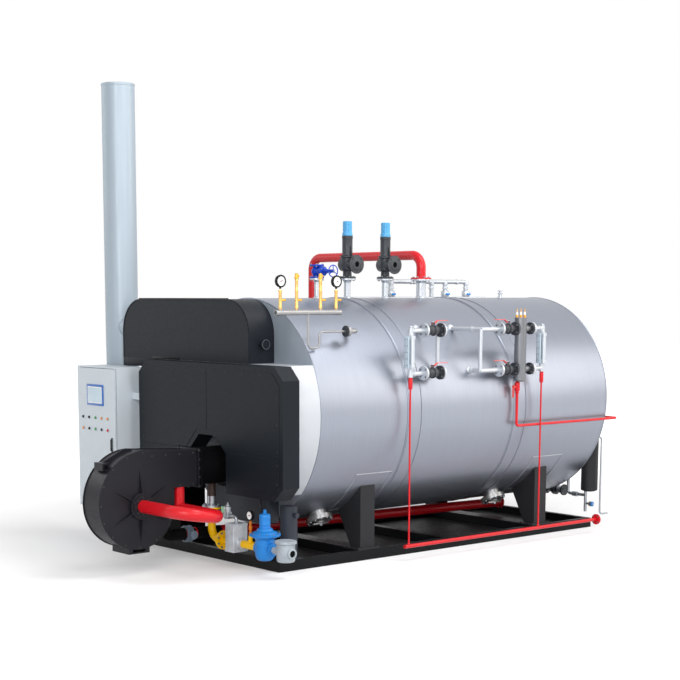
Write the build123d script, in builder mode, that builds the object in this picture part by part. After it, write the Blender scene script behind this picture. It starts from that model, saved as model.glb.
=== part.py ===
# Horizontal fire-tube steam boiler on a skid, with its gas burner, chimney and control cabinet.
# Millimetres. +X is the boiler's right side seen by someone facing the burner, +Y runs from the
# burner end to the rear end, +Z is up. The origin is the middle of the skid's underside.
import os
from math import cos, radians, sin, sqrt

from build123d import *

os.makedirs("parts", exist_ok=True)

# Shell
SHELL_R = 1250
SHELL_WALL = 110
SHELL_CLEARANCE = 391
SHELL_AXIS_Z = SHELL_CLEARANCE + SHELL_R
SHELL_TOP_Z = SHELL_AXIS_Z + SHELL_R
SHELL_FRONT_Y = -2187
SHELL_LENGTH = 4663
SHELL_LIP = 8
END_PLATE_T = 40
BAND_PROUD = 4
BAND_WIDTH = 45
BAND_FROM_FRONT = (1280, 2990)
SHELL_REAR_Y = SHELL_FRONT_Y + SHELL_LENGTH

# Skid
SKID_HALF_WIDTH = 994
SKID_HALF_LENGTH = 2543
RAIL_H = 118
RAIL_FLANGE = 65
RAIL_T = 8
OUTRIGGER_END_X = -1450
CENTRE_BEAM_WIDTH = 100
DECK_T = 5

# Saddle legs
LEG_OUTER_X = 957
LEG_TOP_INNER_X = 577
LEG_FOOT_INNER_X = 792
LEG_WIDTH = 212
LEG_PLATE_T = 14
LEG_FRONT_Y = (-1359, SHELL_REAR_Y - 972)
FOOT_T = 14
FOOT_OVERHANG = 60
FOOT_INNER_X = 740

# Front casing and hood
CASING_DEPTH = 349
HOOD_DEPTH = 219
HOOD_HALF_WIDTH = SHELL_R + 75
HOOD_BOTTOM_Z = 803
HOOD_TOP_Z = SHELL_AXIS_Z + 552
HOOD_CHAMFER = 140
ARCH_HALF_WIDTH = 340
ARCH_KNEE_Z = 1233
ARCH_TOP_Z = 1416
ARCH_TOP_HALF = 150
CASING_FRONT_Y = SHELL_FRONT_Y - CASING_DEPTH
HOOD_DRAIN_X = 860
HOOD_DRAIN = ((48, 60), (30, 190))
HOOD_FRONT_Y = CASING_FRONT_Y - HOOD_DEPTH
HOOD_MID_Y = CASING_FRONT_Y - HOOD_DEPTH / 2
LOWER_CASING_HALF = 545
LOWER_CASING_DEPTH = 183
LOWER_CASING_Z = 450
HOOD_LEG_X = (-1060, -830)
HOOD_LEG_PLATE_Z = 210
HOOD_LEG_POST_DEPTH = 58

# Flue box
FLUE_LEFT_X = -SHELL_R - 750
FLUE_RIGHT_X = 470
FLUE_TOP_Z = SHELL_TOP_Z - 11
FLUE_DEPTH = 338
FLUE_CORNER_R = 380
FLUE_LID_T = 10
FLUE_LID_LEFT_X = FLUE_LEFT_X + 350
FLUE_LID_RIGHT_X = FLUE_RIGHT_X - 820
SIGHT_PORT_R = 34
SIGHT_PORT_CAP_R = 46
SIGHT_PORT_LENGTH = 75
SIGHT_PORT_CAP_T = 25
SIGHT_PORT_Z = HOOD_TOP_Z + 207

# Chimney
CHIMNEY_R = 197
CHIMNEY_WALL = 6
CHIMNEY_TOP_Z = 5400
CHIMNEY_X = FLUE_LEFT_X - 290
CHIMNEY_Y = -2350
CHIMNEY_FOOT = 500
CHIMNEY_FOOT_T = 14
STUB_R = 140
STUB_Z = HOOD_TOP_Z + 347

# Control cabinet
CABINET_WIDTH = 811
CABINET_GAP = 216
CABINET_LEFT_X = -HOOD_HALF_WIDTH - CABINET_GAP - CABINET_WIDTH
CABINET_FRONT_Y = -2950
CABINET_DEPTH = 380
CABINET_BOTTOM_Z = 418
CABINET_TOP_Z = 2094
CABINET_WALL = 15
DOOR_T = 18
DOOR_GAP = 9
DOOR_END_GAP = 6
HINGE_PIN_R = 4
HINGE_INSET = 9
HINGE_PIN_LENGTH = 30
PIN_CLEARANCE = 0.3
HANDLE_Z = 1190
HANDLE_LENGTH = 140
HANDLE_FROM_EDGE = 70
HANDLE_R = 9
ARM_SIZE = 80
ARM_Z = (760, 1760)

# Burner
BURNER_HALF_WIDTH = 160
FAN_Y = -3735
FAN_Z = 735
SCROLL_TOP_R = 535
SCROLL_LEFT_R = 487
SCROLL_LOW_R = 433
SCROLL_TOP_SHIFT = 35
SCROLL_LEFT_SHIFT = -13
SCROLL_LOW_SHIFT = -19
DUCT_END_Y = -2997
DUCT_TOP_Z = 1262
DUCT_BOTTOM_Z = 905
FAN_INLET_R = 140
FAN_INLET_T = 40
MOTOR_R = 125
MOTOR_LENGTH = 300
MOTOR_EDGE_R = 31
FACE_FLANGE_T = 6
FACE_FLANGE_PROUD = 10
HEAD_FLANGE_T = 24
HEAD_FLANGE_HALF = 215
HEAD_R = 205
FAN_LUG_TUBE = 80
FAN_LUG_T = 12
FAN_LUG_SLOPE_END = 108
FAN_LUG_TOP_Z = 1328
FAN_LUG_Y = -4105
FAN_LUG_Z = 1165
FAN_FOOT_H = 60
FAN_FOOT_BAR_T = 14
FAN_FOOT_Y = (-3890, -3630)
FAN_FOOT_Z = 232
FAN_FOOT_DEPTH = 50

# Flue gas return pipe
RETURN_R = 68
LOOP_LEG_Y = -3200
LOOP_LEG_Z = 650
LOOP_REACH_X = 930
LOOP_BEND_R = 235
RISER_X = -200
RISER_BEND_R = 120
RETURN_FOOT_RISE = 40
DUCT_BRANCH_X = 85
DUCT_BRANCH_R = 64
UNDER_PIPE_R = 60
UNDER_PIPE_FRONT_Z = 318
UNDER_PIPE_REAR_Z = 232
UNDER_PIPE_REAR_Y = SHELL_REAR_Y - 366
UNDER_FLANGE_R = 78
UNDER_FLANGE_T = 24
UNDER_RISER_R = 48
DAMPER_Y = (-2930, -2850)
DAMPER_R = 92
DAMPER_SPINDLE_R = 16
DAMPER_SPINDLE_X = -60
DAMPER_KNOB_R = 48
DAMPER_KNOB_T = 16

# Gas train
TRAIN_Y = -2700
TRAIN_Z = 275
GAS_PIPE_R = 44
GAS_BEND_R = 125
GAS_FLANGE_R = 104
GAS_FLANGE_T = 22
GAS_RISER_FLANGE_Z = 620
ELBOW_FLANGE_X = 206
BLOCK_X = (368, 528)
BLOCK_HALF_DEPTH = 110
BLOCK_BOTTOM_Z = 180
BLOCK_TOP_Z = 490
BLOCK_RING_R = 62
BLOCK_RING_LENGTH = 50
REGULATOR_X = 950
REGULATOR_BODY_R = 108
REGULATOR_LEVELS = (
    (150, 175, 92),
    (175, 388, REGULATOR_BODY_R),
    (388, 412, 140),
    (412, 436, 166),
    (436, 462, 120),
    (462, 490, 84),
    (490, 646, 60),
    (646, 690, 18),
)
REGULATOR_PORT_R = 66
REGULATOR_PORT = 150
FILTER_X = 1300
FILTER_R = 98
FILTER_TOP_R = 116
FILTER_BOTTOM_Z = 178
FILTER_TOP_Z = 402
FILTER_PORT_R = 36
FILTER_RIM_H = 30
FILTER_BOSS_R = 56
FILTER_BOSS_PROUD = 18
FILTER_STUB_R = 36
TEE_X = 700
TEE_R = 24
TEE_H = 105
GAS_GAUGE_Z = 600
GAS_GAUGE_R = 58
GAS_GAUGE_T = 40
GAS_STEM_R = 16
PILOT_X = 300
PILOT_R = 12
PILOT_TUBE_R = 16
PILOT_TOP_Z = 700
PILOT_BODY_R = 40
PILOT_LOW_Z = 520
PILOT_CAP_R = 20
PILOT_BEND_R = 30
PILOT_TUBE_X = 450
PILOT_TUBE_Z = 556
PILOT_BOX = 52
PILOT_BOX_H = 92

# Upright pipe on the skid corner
UPRIGHT_X = 885
UPRIGHT_Y = -2325
UPRIGHT_R = 95
UPRIGHT_TOP_Z = 690
UPRIGHT_FOOT = 210
UPRIGHT_FOOT_T = 10
UPRIGHT_PORT_Z = 600
UPRIGHT_PORT_R = 27
UPRIGHT_PORT_LENGTH = 150

# Gauge manifold
MANIFOLD_X = SHELL_R - 180
MANIFOLD_Z = SHELL_TOP_Z - 148
MANIFOLD_R = 28
MANIFOLD_Y = (-2642, -1764)
COCK_Y = (-2583, -2365, -2040, -1823)
COCK_R = 19
COCK_HANDLE_Z = MANIFOLD_Z + 130
COCK_HANDLE_R = 13
COCK_HANDLE_LENGTH = 70
SHORT_COCK_TOP_Z = MANIFOLD_Z + 253
TALL_COCK_TOP_Z = MANIFOLD_Z + 407
GAUGE_R = 66
GAUGE_T = 42
GAUGE_Z = MANIFOLD_Z + 323
GAUGE_STEM_R = 15
SIPHON_R = 12
SIPHON_DROP_Y = -2208
SIPHON_RISE_Y = -2055
SIPHON_Z = SHELL_TOP_Z - 351
SIPHON_LOW_Z = SIPHON_Z - 168
SIPHON_BEND_R = 46
SIPHON_FLANGE_Y = -1680
SIPHON_FLANGE_R = 60
SIPHON_STUB_R = 26
SIPHON_TURN_Y = -1525

# Nozzles along the top of the shell
SAFETY_Y = (-730, -134)
SAFETY_NOZZLE_R = 38
SAFETY_FLANGE_R = 100
STEAM_Y = 455
STEAM_PIPE_R = 57
STEAM_FLANGE_R = 124
GLOBE_Y = -1190
GLOBE_NOZZLE_R = 30
GLOBE_FLANGE_R = 82
NOZZLE_FLANGE_T = 18
NOZZLE_TOP_Z = SHELL_TOP_Z + 223
VENT_Y = SHELL_REAR_Y - 626
VENT_R = 18
VENT_TOP_Z = SHELL_TOP_Z + 94

# Safety valves
SAFETY_THROAT_R = 50
SAFETY_BODY_R = 84
SAFETY_BODY_Z = (NOZZLE_TOP_Z + 86, NOZZLE_TOP_Z + 258)
SAFETY_SPRING_R = 63
SAFETY_SPRING_TOP_Z = NOZZLE_TOP_Z + 486
SAFETY_OUTLET_Z = NOZZLE_TOP_Z + 160
SAFETY_OUTLET_X = 175
SAFETY_OUTLET_R = 56
SAFETY_OUTLET_FLANGE_R = 108
SAFETY_OUTLET_BORE_R = 30
CAP_R = 53
CAP_COLLAR_R = 60
CAP_COLLAR_H = 36
CAP_TOP_Z = NOZZLE_TOP_Z + 652

# Steam pipe
STEAM_RUN_Z = NOZZLE_TOP_Z + 286
STEAM_BEND_R = 155
STEAM_FAR_X = -SHELL_R - 790
STEAM_END_Z = NOZZLE_TOP_Z - 864

# Globe valve and its handwheel
GLOBE_TOP_Z = NOZZLE_TOP_Z + 154
GLOBE_BODY_R = 52
GLOBE_NECK_R = 42
GLOBE_BONNET_R = 58
GLOBE_BONNET_X = (90, 130)
GLOBE_STEM_R = 10
GLOBE_STEM_PROUD = 8
WHEEL_X = 285
WHEEL_R = 66
WHEEL_RIM_R = 6
WHEEL_HUB_R = 18
WHEEL_HUB_T = 20
WHEEL_SPOKES = 3
SPOKE_R = 5

# Feed water pipes
FEED_X = -450
FEED_Z = SHELL_TOP_Z + 199
FEED_R = 28
FEED_DROP_R = 26
FEED_BEND_R = 50
FEED_END_Y = SHELL_REAR_Y - 791
FEED_START_Y = FEED_END_Y - 1307
FEED_DROPS_Y = (FEED_END_Y - 615, FEED_END_Y - 374)
FEED_VALVE_R = 48
FEED_VALVE_H = 70
FEED_VALVE_Z = SHELL_TOP_Z + 44
FEED_VALVED_Y = (FEED_START_Y, FEED_DROPS_Y[1], FEED_END_Y)
TRACE_X = FEED_X + 90
TRACE_R = 14
TRACE_BEND_R = 25
TRACE_Z = SHELL_TOP_Z - 2
TRACE_Y = (-595, SHELL_REAR_Y - 516)

# Level instruments on the right side
LEVEL_X = SHELL_R + 90
LEVEL_TOP_Z = SHELL_AXIS_Z + 899
LEVEL_LOW_Z = SHELL_AXIS_Z + 432
LEVEL_PIPE_R = 24
LEVEL_BEND_R = 40
GAUGE_GLASS_Y = (-980, 1150)
GLASS_DEPTH = 124
GLASS_WIDTH = 100
GLASS_Z = (LEVEL_LOW_Z + 57, LEVEL_TOP_Z - 58)
FRONT_STUB_Y = -450
REAR_STUB_Y = 110
STAND_R = 22
FRONT_STAND_X = LEVEL_X - 124
VALVE_Y = (-645, 560)
VALVE_BODY_R = 50
VALVE_BODY_LENGTH = 120
VALVE_FLANGE_R = 78
VALVE_END_R = 72
BONNET_R = 20
BONNET_TOP = 65
COLUMN_Y = 772
COLUMN_R = 70
COLUMN_Z = (LEVEL_LOW_Z - 136, LEVEL_TOP_Z + 127)
ELECTRODE_R = 15
ELECTRODE_SPACING = 48
ELECTRODE_H = 100
COLUMN_FLANGE_Y = 925
COLUMN_FLANGE_T = 55
COLUMN_FLANGE_R = 70

# Valve levers
LEVER_RISE = 104
LEVER_LENGTH = 220
LEVER_WIDTH = 26
LEVER_T = 6
LEVER_HUB_R = 20
LEVER_HUB_H = 16
LEVER_STEM_R = 9
LEVER_STEM_PROUD = 2
DRAIN_VALVE_Z = LEVEL_LOW_Z - 207
DRAIN_VALVE_R = 28
DRAIN_BONNET_R = 16
DRAIN_BONNET_GAP = 5
DRAIN_VALVE_LENGTH = 90
DRAIN_LEVER_OUT = 62
DRAIN_LEVER_LENGTH = 125

# Red drains
DRAIN_R = 16
DRAIN_X = LEVEL_X - 34
DRAIN_BEND_R = 30
DRAIN_RUN_Z = LEVEL_LOW_Z - 665
HEADER_Z = 166
HEADER_R = 21
HEADER_Y = (-1040, SHELL_REAR_Y - 261)
HEADER_FLANGE_R = 65
HEADER_FLANGE_T = 20
THIN_DRAIN_R = 10
SLEEVE_R = 22
SLEEVE_LENGTH = 130

# Handholes
HANDHOLE_Y = (-1650, 1150)
HANDHOLE_ANGLE = 26.5
HANDHOLE_NECK_R = 105
HANDHOLE_NECK = 55
HANDHOLE_FLANGE_R = 150
HANDHOLE_FLANGE_T = 26
HANDHOLE_COVER_T = 24

# Rear tank and pipes
TANK_X = SHELL_R * 0.724
TANK_R = 106
TANK_GAP = 18
TANK_Z = (470, SHELL_AXIS_Z - SHELL_R * 0.3128)
TANK_STRAP_Z = (SHELL_AXIS_Z - SHELL_R * 0.5128, SHELL_AXIS_Z - SHELL_R * 0.3688)
TANK_STRAP_H = 50
REAR_PIPE_R = 20
REAR_OUT_R = 14
REAR_DROP_X = 560
REAR_NOZZLE_Z = SHELL_AXIS_Z - SHELL_R * 0.7048
REAR_RUN_Z = 388
REAR_TEE_X = TANK_X - 55
REAR_LOW_Z = 178
REAR_OUT_X = TANK_X + 75
BLOWDOWN_Z = SHELL_CLEARANCE + 29
BLOWDOWN_X = (190, 500)
BLOWDOWN_R = 34
BLOWDOWN_FLANGE_R = 72
VENT_PIPE_R = 12
VENT_PIPE_X = SHELL_R * 0.868
VENT_PIPE_TOP_Z = SHELL_AXIS_Z - SHELL_R * 0.3928
VENT_PIPE_LOW_Z = 170


def rod(start, end, radius, mode=Mode.ADD):
    """A straight round bar from one point to another."""
    run = Vector(*end) - Vector(*start)
    with BuildSketch(Plane(origin=start, z_dir=run)) as section:
        Circle(radius)
    extrude(section.sketch, amount=run.length, mode=mode)


def block(low, high, mode=Mode.ADD):
    """A rectangular block between two opposite corners."""
    size = Vector(*high) - Vector(*low)
    middle = (Vector(*high) + Vector(*low)) / 2
    with Locations(middle):
        Box(size.X, size.Y, size.Z, mode=mode)


def pipe_run(points, radius, bend):
    """A round pipe along straight runs joined by bends of one radius."""
    with BuildLine() as route:
        FilletPolyline(*points, radius=bend)
    with BuildSketch(Plane(origin=route.line @ 0, z_dir=route.line % 0)) as section:
        Circle(radius)
    sweep(section.sketch, path=route.line)


def shell_cut():
    """Cut away what would lie inside the shell, so that a stub seats on its surface."""
    rod((0, SHELL_FRONT_Y, SHELL_AXIS_Z), (0, SHELL_REAR_Y, SHELL_AXIS_Z), SHELL_R, mode=Mode.SUBTRACT)


def shell_low_z(x):
    """Height of the shell's underside at a distance x from its axis."""
    return SHELL_AXIS_Z - sqrt(SHELL_R**2 - x**2)


# Skid
def mitred_channel(half_length, outer):
    """A channel with its web outside and both ends mitred, drawn in plan along X."""
    inner = outer - RAIL_FLANGE
    short = half_length - RAIL_FLANGE
    with BuildSketch(Plane.XY) as plan:
        with BuildLine():
            Polyline(
                (-half_length, -outer), (half_length, -outer), (short, -inner), (-short, -inner), close=True
            )
        make_face()
    extrude(plan.sketch, amount=RAIL_H)
    with BuildSketch(Plane.XY.offset(RAIL_T)) as hollow:
        with BuildLine():
            Polyline(
                (-half_length + RAIL_T, -outer + RAIL_T),
                (half_length - RAIL_T, -outer + RAIL_T),
                (short - RAIL_T, -inner + RAIL_T),
                (-short + RAIL_T, -inner + RAIL_T),
                close=True,
            )
        make_face()
    extrude(hollow.sketch, amount=RAIL_H - 2 * RAIL_T, mode=Mode.SUBTRACT)


with BuildPart() as end_rail_blank:
    mitred_channel(SKID_HALF_WIDTH, SKID_HALF_LENGTH)

with BuildPart() as side_rail_blank:
    mitred_channel(SKID_HALF_LENGTH, SKID_HALF_WIDTH)

with BuildPart() as skid_end_rails:
    for turn in (0, 180):
        with Locations(Rotation(0, 0, turn)):
            add(end_rail_blank.part)
skid_end_rails.part.label = "skid_end_rails"
export_step(skid_end_rails.part, "parts/skid_end_rails.step")

with BuildPart() as skid_side_rails:
    for turn in (90, 270):
        with Locations(Rotation(0, 0, turn)):
            add(side_rail_blank.part)
skid_side_rails.part.label = "skid_side_rails"
export_step(skid_side_rails.part, "parts/skid_side_rails.step")

# The front rail runs on past the skid's left side, under the hood's leg
with BuildPart() as skid_outrigger:
    block(
        (OUTRIGGER_END_X, -SKID_HALF_LENGTH, 0),
        (-SKID_HALF_WIDTH, -SKID_HALF_LENGTH + RAIL_FLANGE, RAIL_H),
    )
    block(
        (OUTRIGGER_END_X, -SKID_HALF_LENGTH + RAIL_T, RAIL_T),
        (-SKID_HALF_WIDTH, -SKID_HALF_LENGTH + RAIL_FLANGE, RAIL_H - RAIL_T),
        mode=Mode.SUBTRACT,
    )
skid_outrigger.part.label = "skid_outrigger"
export_step(skid_outrigger.part, "parts/skid_outrigger.step")

BEAM_HALF = SKID_HALF_WIDTH - RAIL_FLANGE
BEAM_SPANS = (
    (LEG_FRONT_Y[0], LEG_FRONT_Y[0] + LEG_WIDTH),
    (-CENTRE_BEAM_WIDTH / 2, CENTRE_BEAM_WIDTH / 2),
    (LEG_FRONT_Y[1], LEG_FRONT_Y[1] + LEG_WIDTH),
)

with BuildPart() as skid_cross_beams:
    for near_y, far_y in BEAM_SPANS:
        block((-BEAM_HALF, near_y, 0), (BEAM_HALF, far_y, RAIL_H))
        block(
            (-BEAM_HALF, near_y + RAIL_T, RAIL_T),
            (BEAM_HALF, far_y - RAIL_T, RAIL_H - RAIL_T),
            mode=Mode.SUBTRACT,
        )
skid_cross_beams.part.label = "skid_cross_beams"
export_step(skid_cross_beams.part, "parts/skid_cross_beams.step")

BAY_EDGES = [-SKID_HALF_LENGTH + RAIL_T]
for near_y, far_y in BEAM_SPANS:
    BAY_EDGES += [near_y, far_y]
BAY_EDGES += [SKID_HALF_LENGTH - RAIL_T]

with BuildPart() as skid_deck:
    for near_y, far_y in zip(BAY_EDGES[::2], BAY_EDGES[1::2]):
        block((-BEAM_HALF, near_y, RAIL_T), (BEAM_HALF, far_y, RAIL_T + DECK_T))
skid_deck.part.label = "skid_deck"
export_step(skid_deck.part, "parts/skid_deck.step")


# Saddle legs
FOOT_TOP_Z = RAIL_H + FOOT_T


def saddle_leg(front_y):
    """One leg: two web plates cut to the shell, an outer plate, an inner plate and a foot."""
    spans = ((front_y, LEG_PLATE_T), (front_y + LEG_WIDTH - LEG_PLATE_T, LEG_PLATE_T))
    for web_y, thickness in spans:
        with BuildSketch(Plane(origin=(0, web_y, 0), x_dir=(1, 0, 0), z_dir=(0, -1, 0))) as web:
            with BuildLine():
                Polyline(
                    (LEG_TOP_INNER_X, shell_low_z(LEG_TOP_INNER_X)),
                    (LEG_FOOT_INNER_X, FOOT_TOP_Z),
                    (LEG_OUTER_X, FOOT_TOP_Z),
                    (LEG_OUTER_X, shell_low_z(LEG_OUTER_X)),
                )
                RadiusArc(
                    (LEG_OUTER_X, shell_low_z(LEG_OUTER_X)),
                    (LEG_TOP_INNER_X, shell_low_z(LEG_TOP_INNER_X)),
                    SHELL_R,
                )
            make_face()
        extrude(web.sketch, amount=-thickness)
    inner_y = front_y + LEG_PLATE_T
    outer_y = front_y + LEG_WIDTH - LEG_PLATE_T
    block((LEG_OUTER_X - LEG_PLATE_T, inner_y, FOOT_TOP_Z), (LEG_OUTER_X, outer_y, SHELL_AXIS_Z))
    shell_cut()
    block(
        (FOOT_INNER_X, front_y - FOOT_OVERHANG, RAIL_H),
        (SKID_HALF_WIDTH, front_y + LEG_WIDTH + FOOT_OVERHANG, FOOT_TOP_Z),
    )


with BuildPart() as saddle_legs:
    for leg_y in LEG_FRONT_Y:
        saddle_leg(leg_y)
    mirror(about=Plane.YZ)
saddle_legs.part.label = "saddle_legs"
export_step(saddle_legs.part, "parts/saddle_legs.step")


# Shell and its ends
def ring(from_y, to_y, outer_r, inner_r):
    """A plain ring about the shell's axis."""
    with BuildSketch(Plane(origin=(0, from_y, SHELL_AXIS_Z), z_dir=(0, 1, 0))) as section:
        Circle(outer_r)
        Circle(inner_r, mode=Mode.SUBTRACT)
    extrude(section.sketch, amount=to_y - from_y)


BORE_R = SHELL_R - SHELL_WALL
LIP_INNER_R = SHELL_R - SHELL_LIP

with BuildPart() as shell:
    ring(SHELL_FRONT_Y + END_PLATE_T, SHELL_REAR_Y - END_PLATE_T, SHELL_R, BORE_R)
    ring(SHELL_FRONT_Y, SHELL_REAR_Y, SHELL_R, LIP_INNER_R)
    for offset_y in BAND_FROM_FRONT:
        middle_y = SHELL_FRONT_Y + offset_y
        ring(middle_y - BAND_WIDTH / 2, middle_y + BAND_WIDTH / 2, SHELL_R + BAND_PROUD, BORE_R)
shell.part.label = "shell"
export_step(shell.part, "parts/shell.step")

with BuildPart() as front_plate:
    rod(
        (0, SHELL_FRONT_Y, SHELL_AXIS_Z),
        (0, SHELL_FRONT_Y + END_PLATE_T, SHELL_AXIS_Z),
        LIP_INNER_R,
    )
front_plate.part.label = "front_plate"
export_step(front_plate.part, "parts/front_plate.step")

with BuildPart() as rear_plate:
    rod(
        (0, SHELL_REAR_Y - END_PLATE_T, SHELL_AXIS_Z),
        (0, SHELL_REAR_Y, SHELL_AXIS_Z),
        LIP_INNER_R,
    )
rear_plate.part.label = "rear_plate"
export_step(rear_plate.part, "parts/rear_plate.step")


# Front casing and hood
def arch_opening(front_y, depth):
    """The burner's opening, cut up from the lower edge."""
    with BuildSketch(Plane(origin=(0, front_y, 0), x_dir=(1, 0, 0), z_dir=(0, -1, 0))) as arch:
        with BuildLine():
            Polyline(
                (-ARCH_HALF_WIDTH, HOOD_BOTTOM_Z),
                (-ARCH_HALF_WIDTH, ARCH_KNEE_Z),
                (-ARCH_TOP_HALF, ARCH_TOP_Z),
                (ARCH_TOP_HALF, ARCH_TOP_Z),
                (ARCH_HALF_WIDTH, ARCH_KNEE_Z),
                (ARCH_HALF_WIDTH, HOOD_BOTTOM_Z),
                close=True,
            )
        make_face()
    extrude(arch.sketch, amount=-depth, mode=Mode.SUBTRACT)


with BuildPart() as front_casing:
    rod((0, CASING_FRONT_Y, SHELL_AXIS_Z), (0, SHELL_FRONT_Y, SHELL_AXIS_Z), SHELL_R)
    block(
        (-SHELL_R, CASING_FRONT_Y, HOOD_BOTTOM_Z),
        (SHELL_R, SHELL_FRONT_Y, HOOD_TOP_Z),
        mode=Mode.INTERSECT,
    )
    arch_opening(CASING_FRONT_Y, CASING_DEPTH)
front_casing.part.label = "front_casing"
export_step(front_casing.part, "parts/front_casing.step")

with BuildPart() as front_hood:
    block(
        (-HOOD_HALF_WIDTH, HOOD_FRONT_Y, HOOD_BOTTOM_Z),
        (HOOD_HALF_WIDTH, CASING_FRONT_Y, HOOD_TOP_Z),
    )
    chamfer(front_hood.edges().filter_by(Axis.Y), HOOD_CHAMFER)
    arch_opening(HOOD_FRONT_Y, HOOD_DEPTH)
    for drain_r, drain_length in HOOD_DRAIN:
        rod(
            (HOOD_DRAIN_X, HOOD_MID_Y, HOOD_BOTTOM_Z - drain_length),
            (HOOD_DRAIN_X, HOOD_MID_Y, HOOD_BOTTOM_Z),
            drain_r,
        )
front_hood.part.label = "front_hood"
export_step(front_hood.part, "parts/front_hood.step")

# Lower casing under the hood, and the leg under the hood's left side
with BuildPart() as lower_casing:
    block(
        (-LOWER_CASING_HALF, SHELL_FRONT_Y - LOWER_CASING_DEPTH, LOWER_CASING_Z),
        (LOWER_CASING_HALF, SHELL_FRONT_Y, HOOD_BOTTOM_Z),
    )
lower_casing.part.label = "lower_casing"
export_step(lower_casing.part, "parts/lower_casing.step")

with BuildPart() as hood_leg:
    block(
        (HOOD_LEG_X[0], CASING_FRONT_Y, HOOD_LEG_PLATE_Z),
        (HOOD_LEG_X[1], SHELL_FRONT_Y, HOOD_BOTTOM_Z),
    )
    block(
        (HOOD_LEG_X[0], CASING_FRONT_Y, RAIL_H),
        (HOOD_LEG_X[1], CASING_FRONT_Y + HOOD_LEG_POST_DEPTH, HOOD_LEG_PLATE_Z),
    )
hood_leg.part.label = "hood_leg"
export_step(hood_leg.part, "parts/hood_leg.step")

# Flue box, with its lid and the sight port on its right side
FLUE_FRONT_Y = SHELL_FRONT_Y - FLUE_DEPTH
SIGHT_PORT_Y = SHELL_FRONT_Y - FLUE_DEPTH / 2

with BuildPart() as flue_box:
    block((FLUE_LEFT_X, FLUE_FRONT_Y, HOOD_TOP_Z), (FLUE_RIGHT_X, SHELL_FRONT_Y, FLUE_TOP_Z))
    fillet(flue_box.edges().filter_by(Axis.Y).group_by(Axis.Z)[-1], FLUE_CORNER_R)
    block(
        (FLUE_LID_LEFT_X, FLUE_FRONT_Y, FLUE_TOP_Z - FLUE_LID_T),
        (FLUE_LID_RIGHT_X, SHELL_FRONT_Y, FLUE_TOP_Z + FLUE_LID_T),
    )
    rod(
        (FLUE_RIGHT_X, SIGHT_PORT_Y, SIGHT_PORT_Z),
        (FLUE_RIGHT_X + SIGHT_PORT_LENGTH, SIGHT_PORT_Y, SIGHT_PORT_Z),
        SIGHT_PORT_R,
    )
    rod(
        (FLUE_RIGHT_X + SIGHT_PORT_LENGTH - SIGHT_PORT_CAP_T, SIGHT_PORT_Y, SIGHT_PORT_Z),
        (FLUE_RIGHT_X + SIGHT_PORT_LENGTH, SIGHT_PORT_Y, SIGHT_PORT_Z),
        SIGHT_PORT_CAP_R,
    )
flue_box.part.label = "flue_box"
export_step(flue_box.part, "parts/flue_box.step")

# Chimney, open at the top, with its foot and the stub to the flue box
with BuildPart() as chimney:
    rod((CHIMNEY_X, CHIMNEY_Y, 0), (CHIMNEY_X, CHIMNEY_Y, CHIMNEY_TOP_Z), CHIMNEY_R)
    rod((CHIMNEY_X, CHIMNEY_Y, STUB_Z), (FLUE_LEFT_X, CHIMNEY_Y, STUB_Z), STUB_R)
    rod(
        (CHIMNEY_X, CHIMNEY_Y, CHIMNEY_FOOT_T),
        (CHIMNEY_X, CHIMNEY_Y, CHIMNEY_TOP_Z),
        CHIMNEY_R - CHIMNEY_WALL,
        mode=Mode.SUBTRACT,
    )
    with Locations((CHIMNEY_X, CHIMNEY_Y, CHIMNEY_FOOT_T / 2)):
        Box(CHIMNEY_FOOT, CHIMNEY_FOOT, CHIMNEY_FOOT_T)
chimney.part.label = "chimney"
export_step(chimney.part, "parts/chimney.step")

# Control cabinet: the body, its door and the two arms that hold it to the hood
CABINET_RIGHT_X = CABINET_LEFT_X + CABINET_WIDTH
CABINET_BACK_Y = CABINET_FRONT_Y + CABINET_DEPTH
BODY_FRONT_Y = CABINET_FRONT_Y + DOOR_T + DOOR_GAP
HINGE_X = CABINET_LEFT_X + HINGE_INSET
HINGE_Y = CABINET_FRONT_Y + DOOR_T / 2
DOOR_BOTTOM_Z = CABINET_BOTTOM_Z + CABINET_WALL + DOOR_END_GAP
DOOR_TOP_Z = CABINET_TOP_Z - CABINET_WALL - DOOR_END_GAP
HANDLE_X = CABINET_RIGHT_X - HANDLE_FROM_EDGE

with BuildPart() as cabinet_body:
    block(
        (CABINET_LEFT_X, BODY_FRONT_Y, CABINET_BOTTOM_Z),
        (CABINET_RIGHT_X, CABINET_BACK_Y, CABINET_TOP_Z),
    )
    block(
        (CABINET_LEFT_X + CABINET_WALL, BODY_FRONT_Y, CABINET_BOTTOM_Z + CABINET_WALL),
        (CABINET_RIGHT_X - CABINET_WALL, CABINET_BACK_Y - CABINET_WALL, CABINET_TOP_Z - CABINET_WALL),
        mode=Mode.SUBTRACT,
    )
    for low_z in (CABINET_BOTTOM_Z, CABINET_TOP_Z - CABINET_WALL):
        block(
            (CABINET_LEFT_X, CABINET_FRONT_Y, low_z),
            (CABINET_RIGHT_X, BODY_FRONT_Y, low_z + CABINET_WALL),
        )
    rod(
        (HINGE_X, HINGE_Y, CABINET_BOTTOM_Z + CABINET_WALL),
        (HINGE_X, HINGE_Y, DOOR_BOTTOM_Z + HINGE_PIN_LENGTH),
        HINGE_PIN_R,
    )
    rod(
        (HINGE_X, HINGE_Y, DOOR_TOP_Z - HINGE_PIN_LENGTH),
        (HINGE_X, HINGE_Y, CABINET_TOP_Z - CABINET_WALL),
        HINGE_PIN_R,
    )
cabinet_body.part.label = "cabinet_body"
export_step(cabinet_body.part, "parts/cabinet_body.step")

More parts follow.
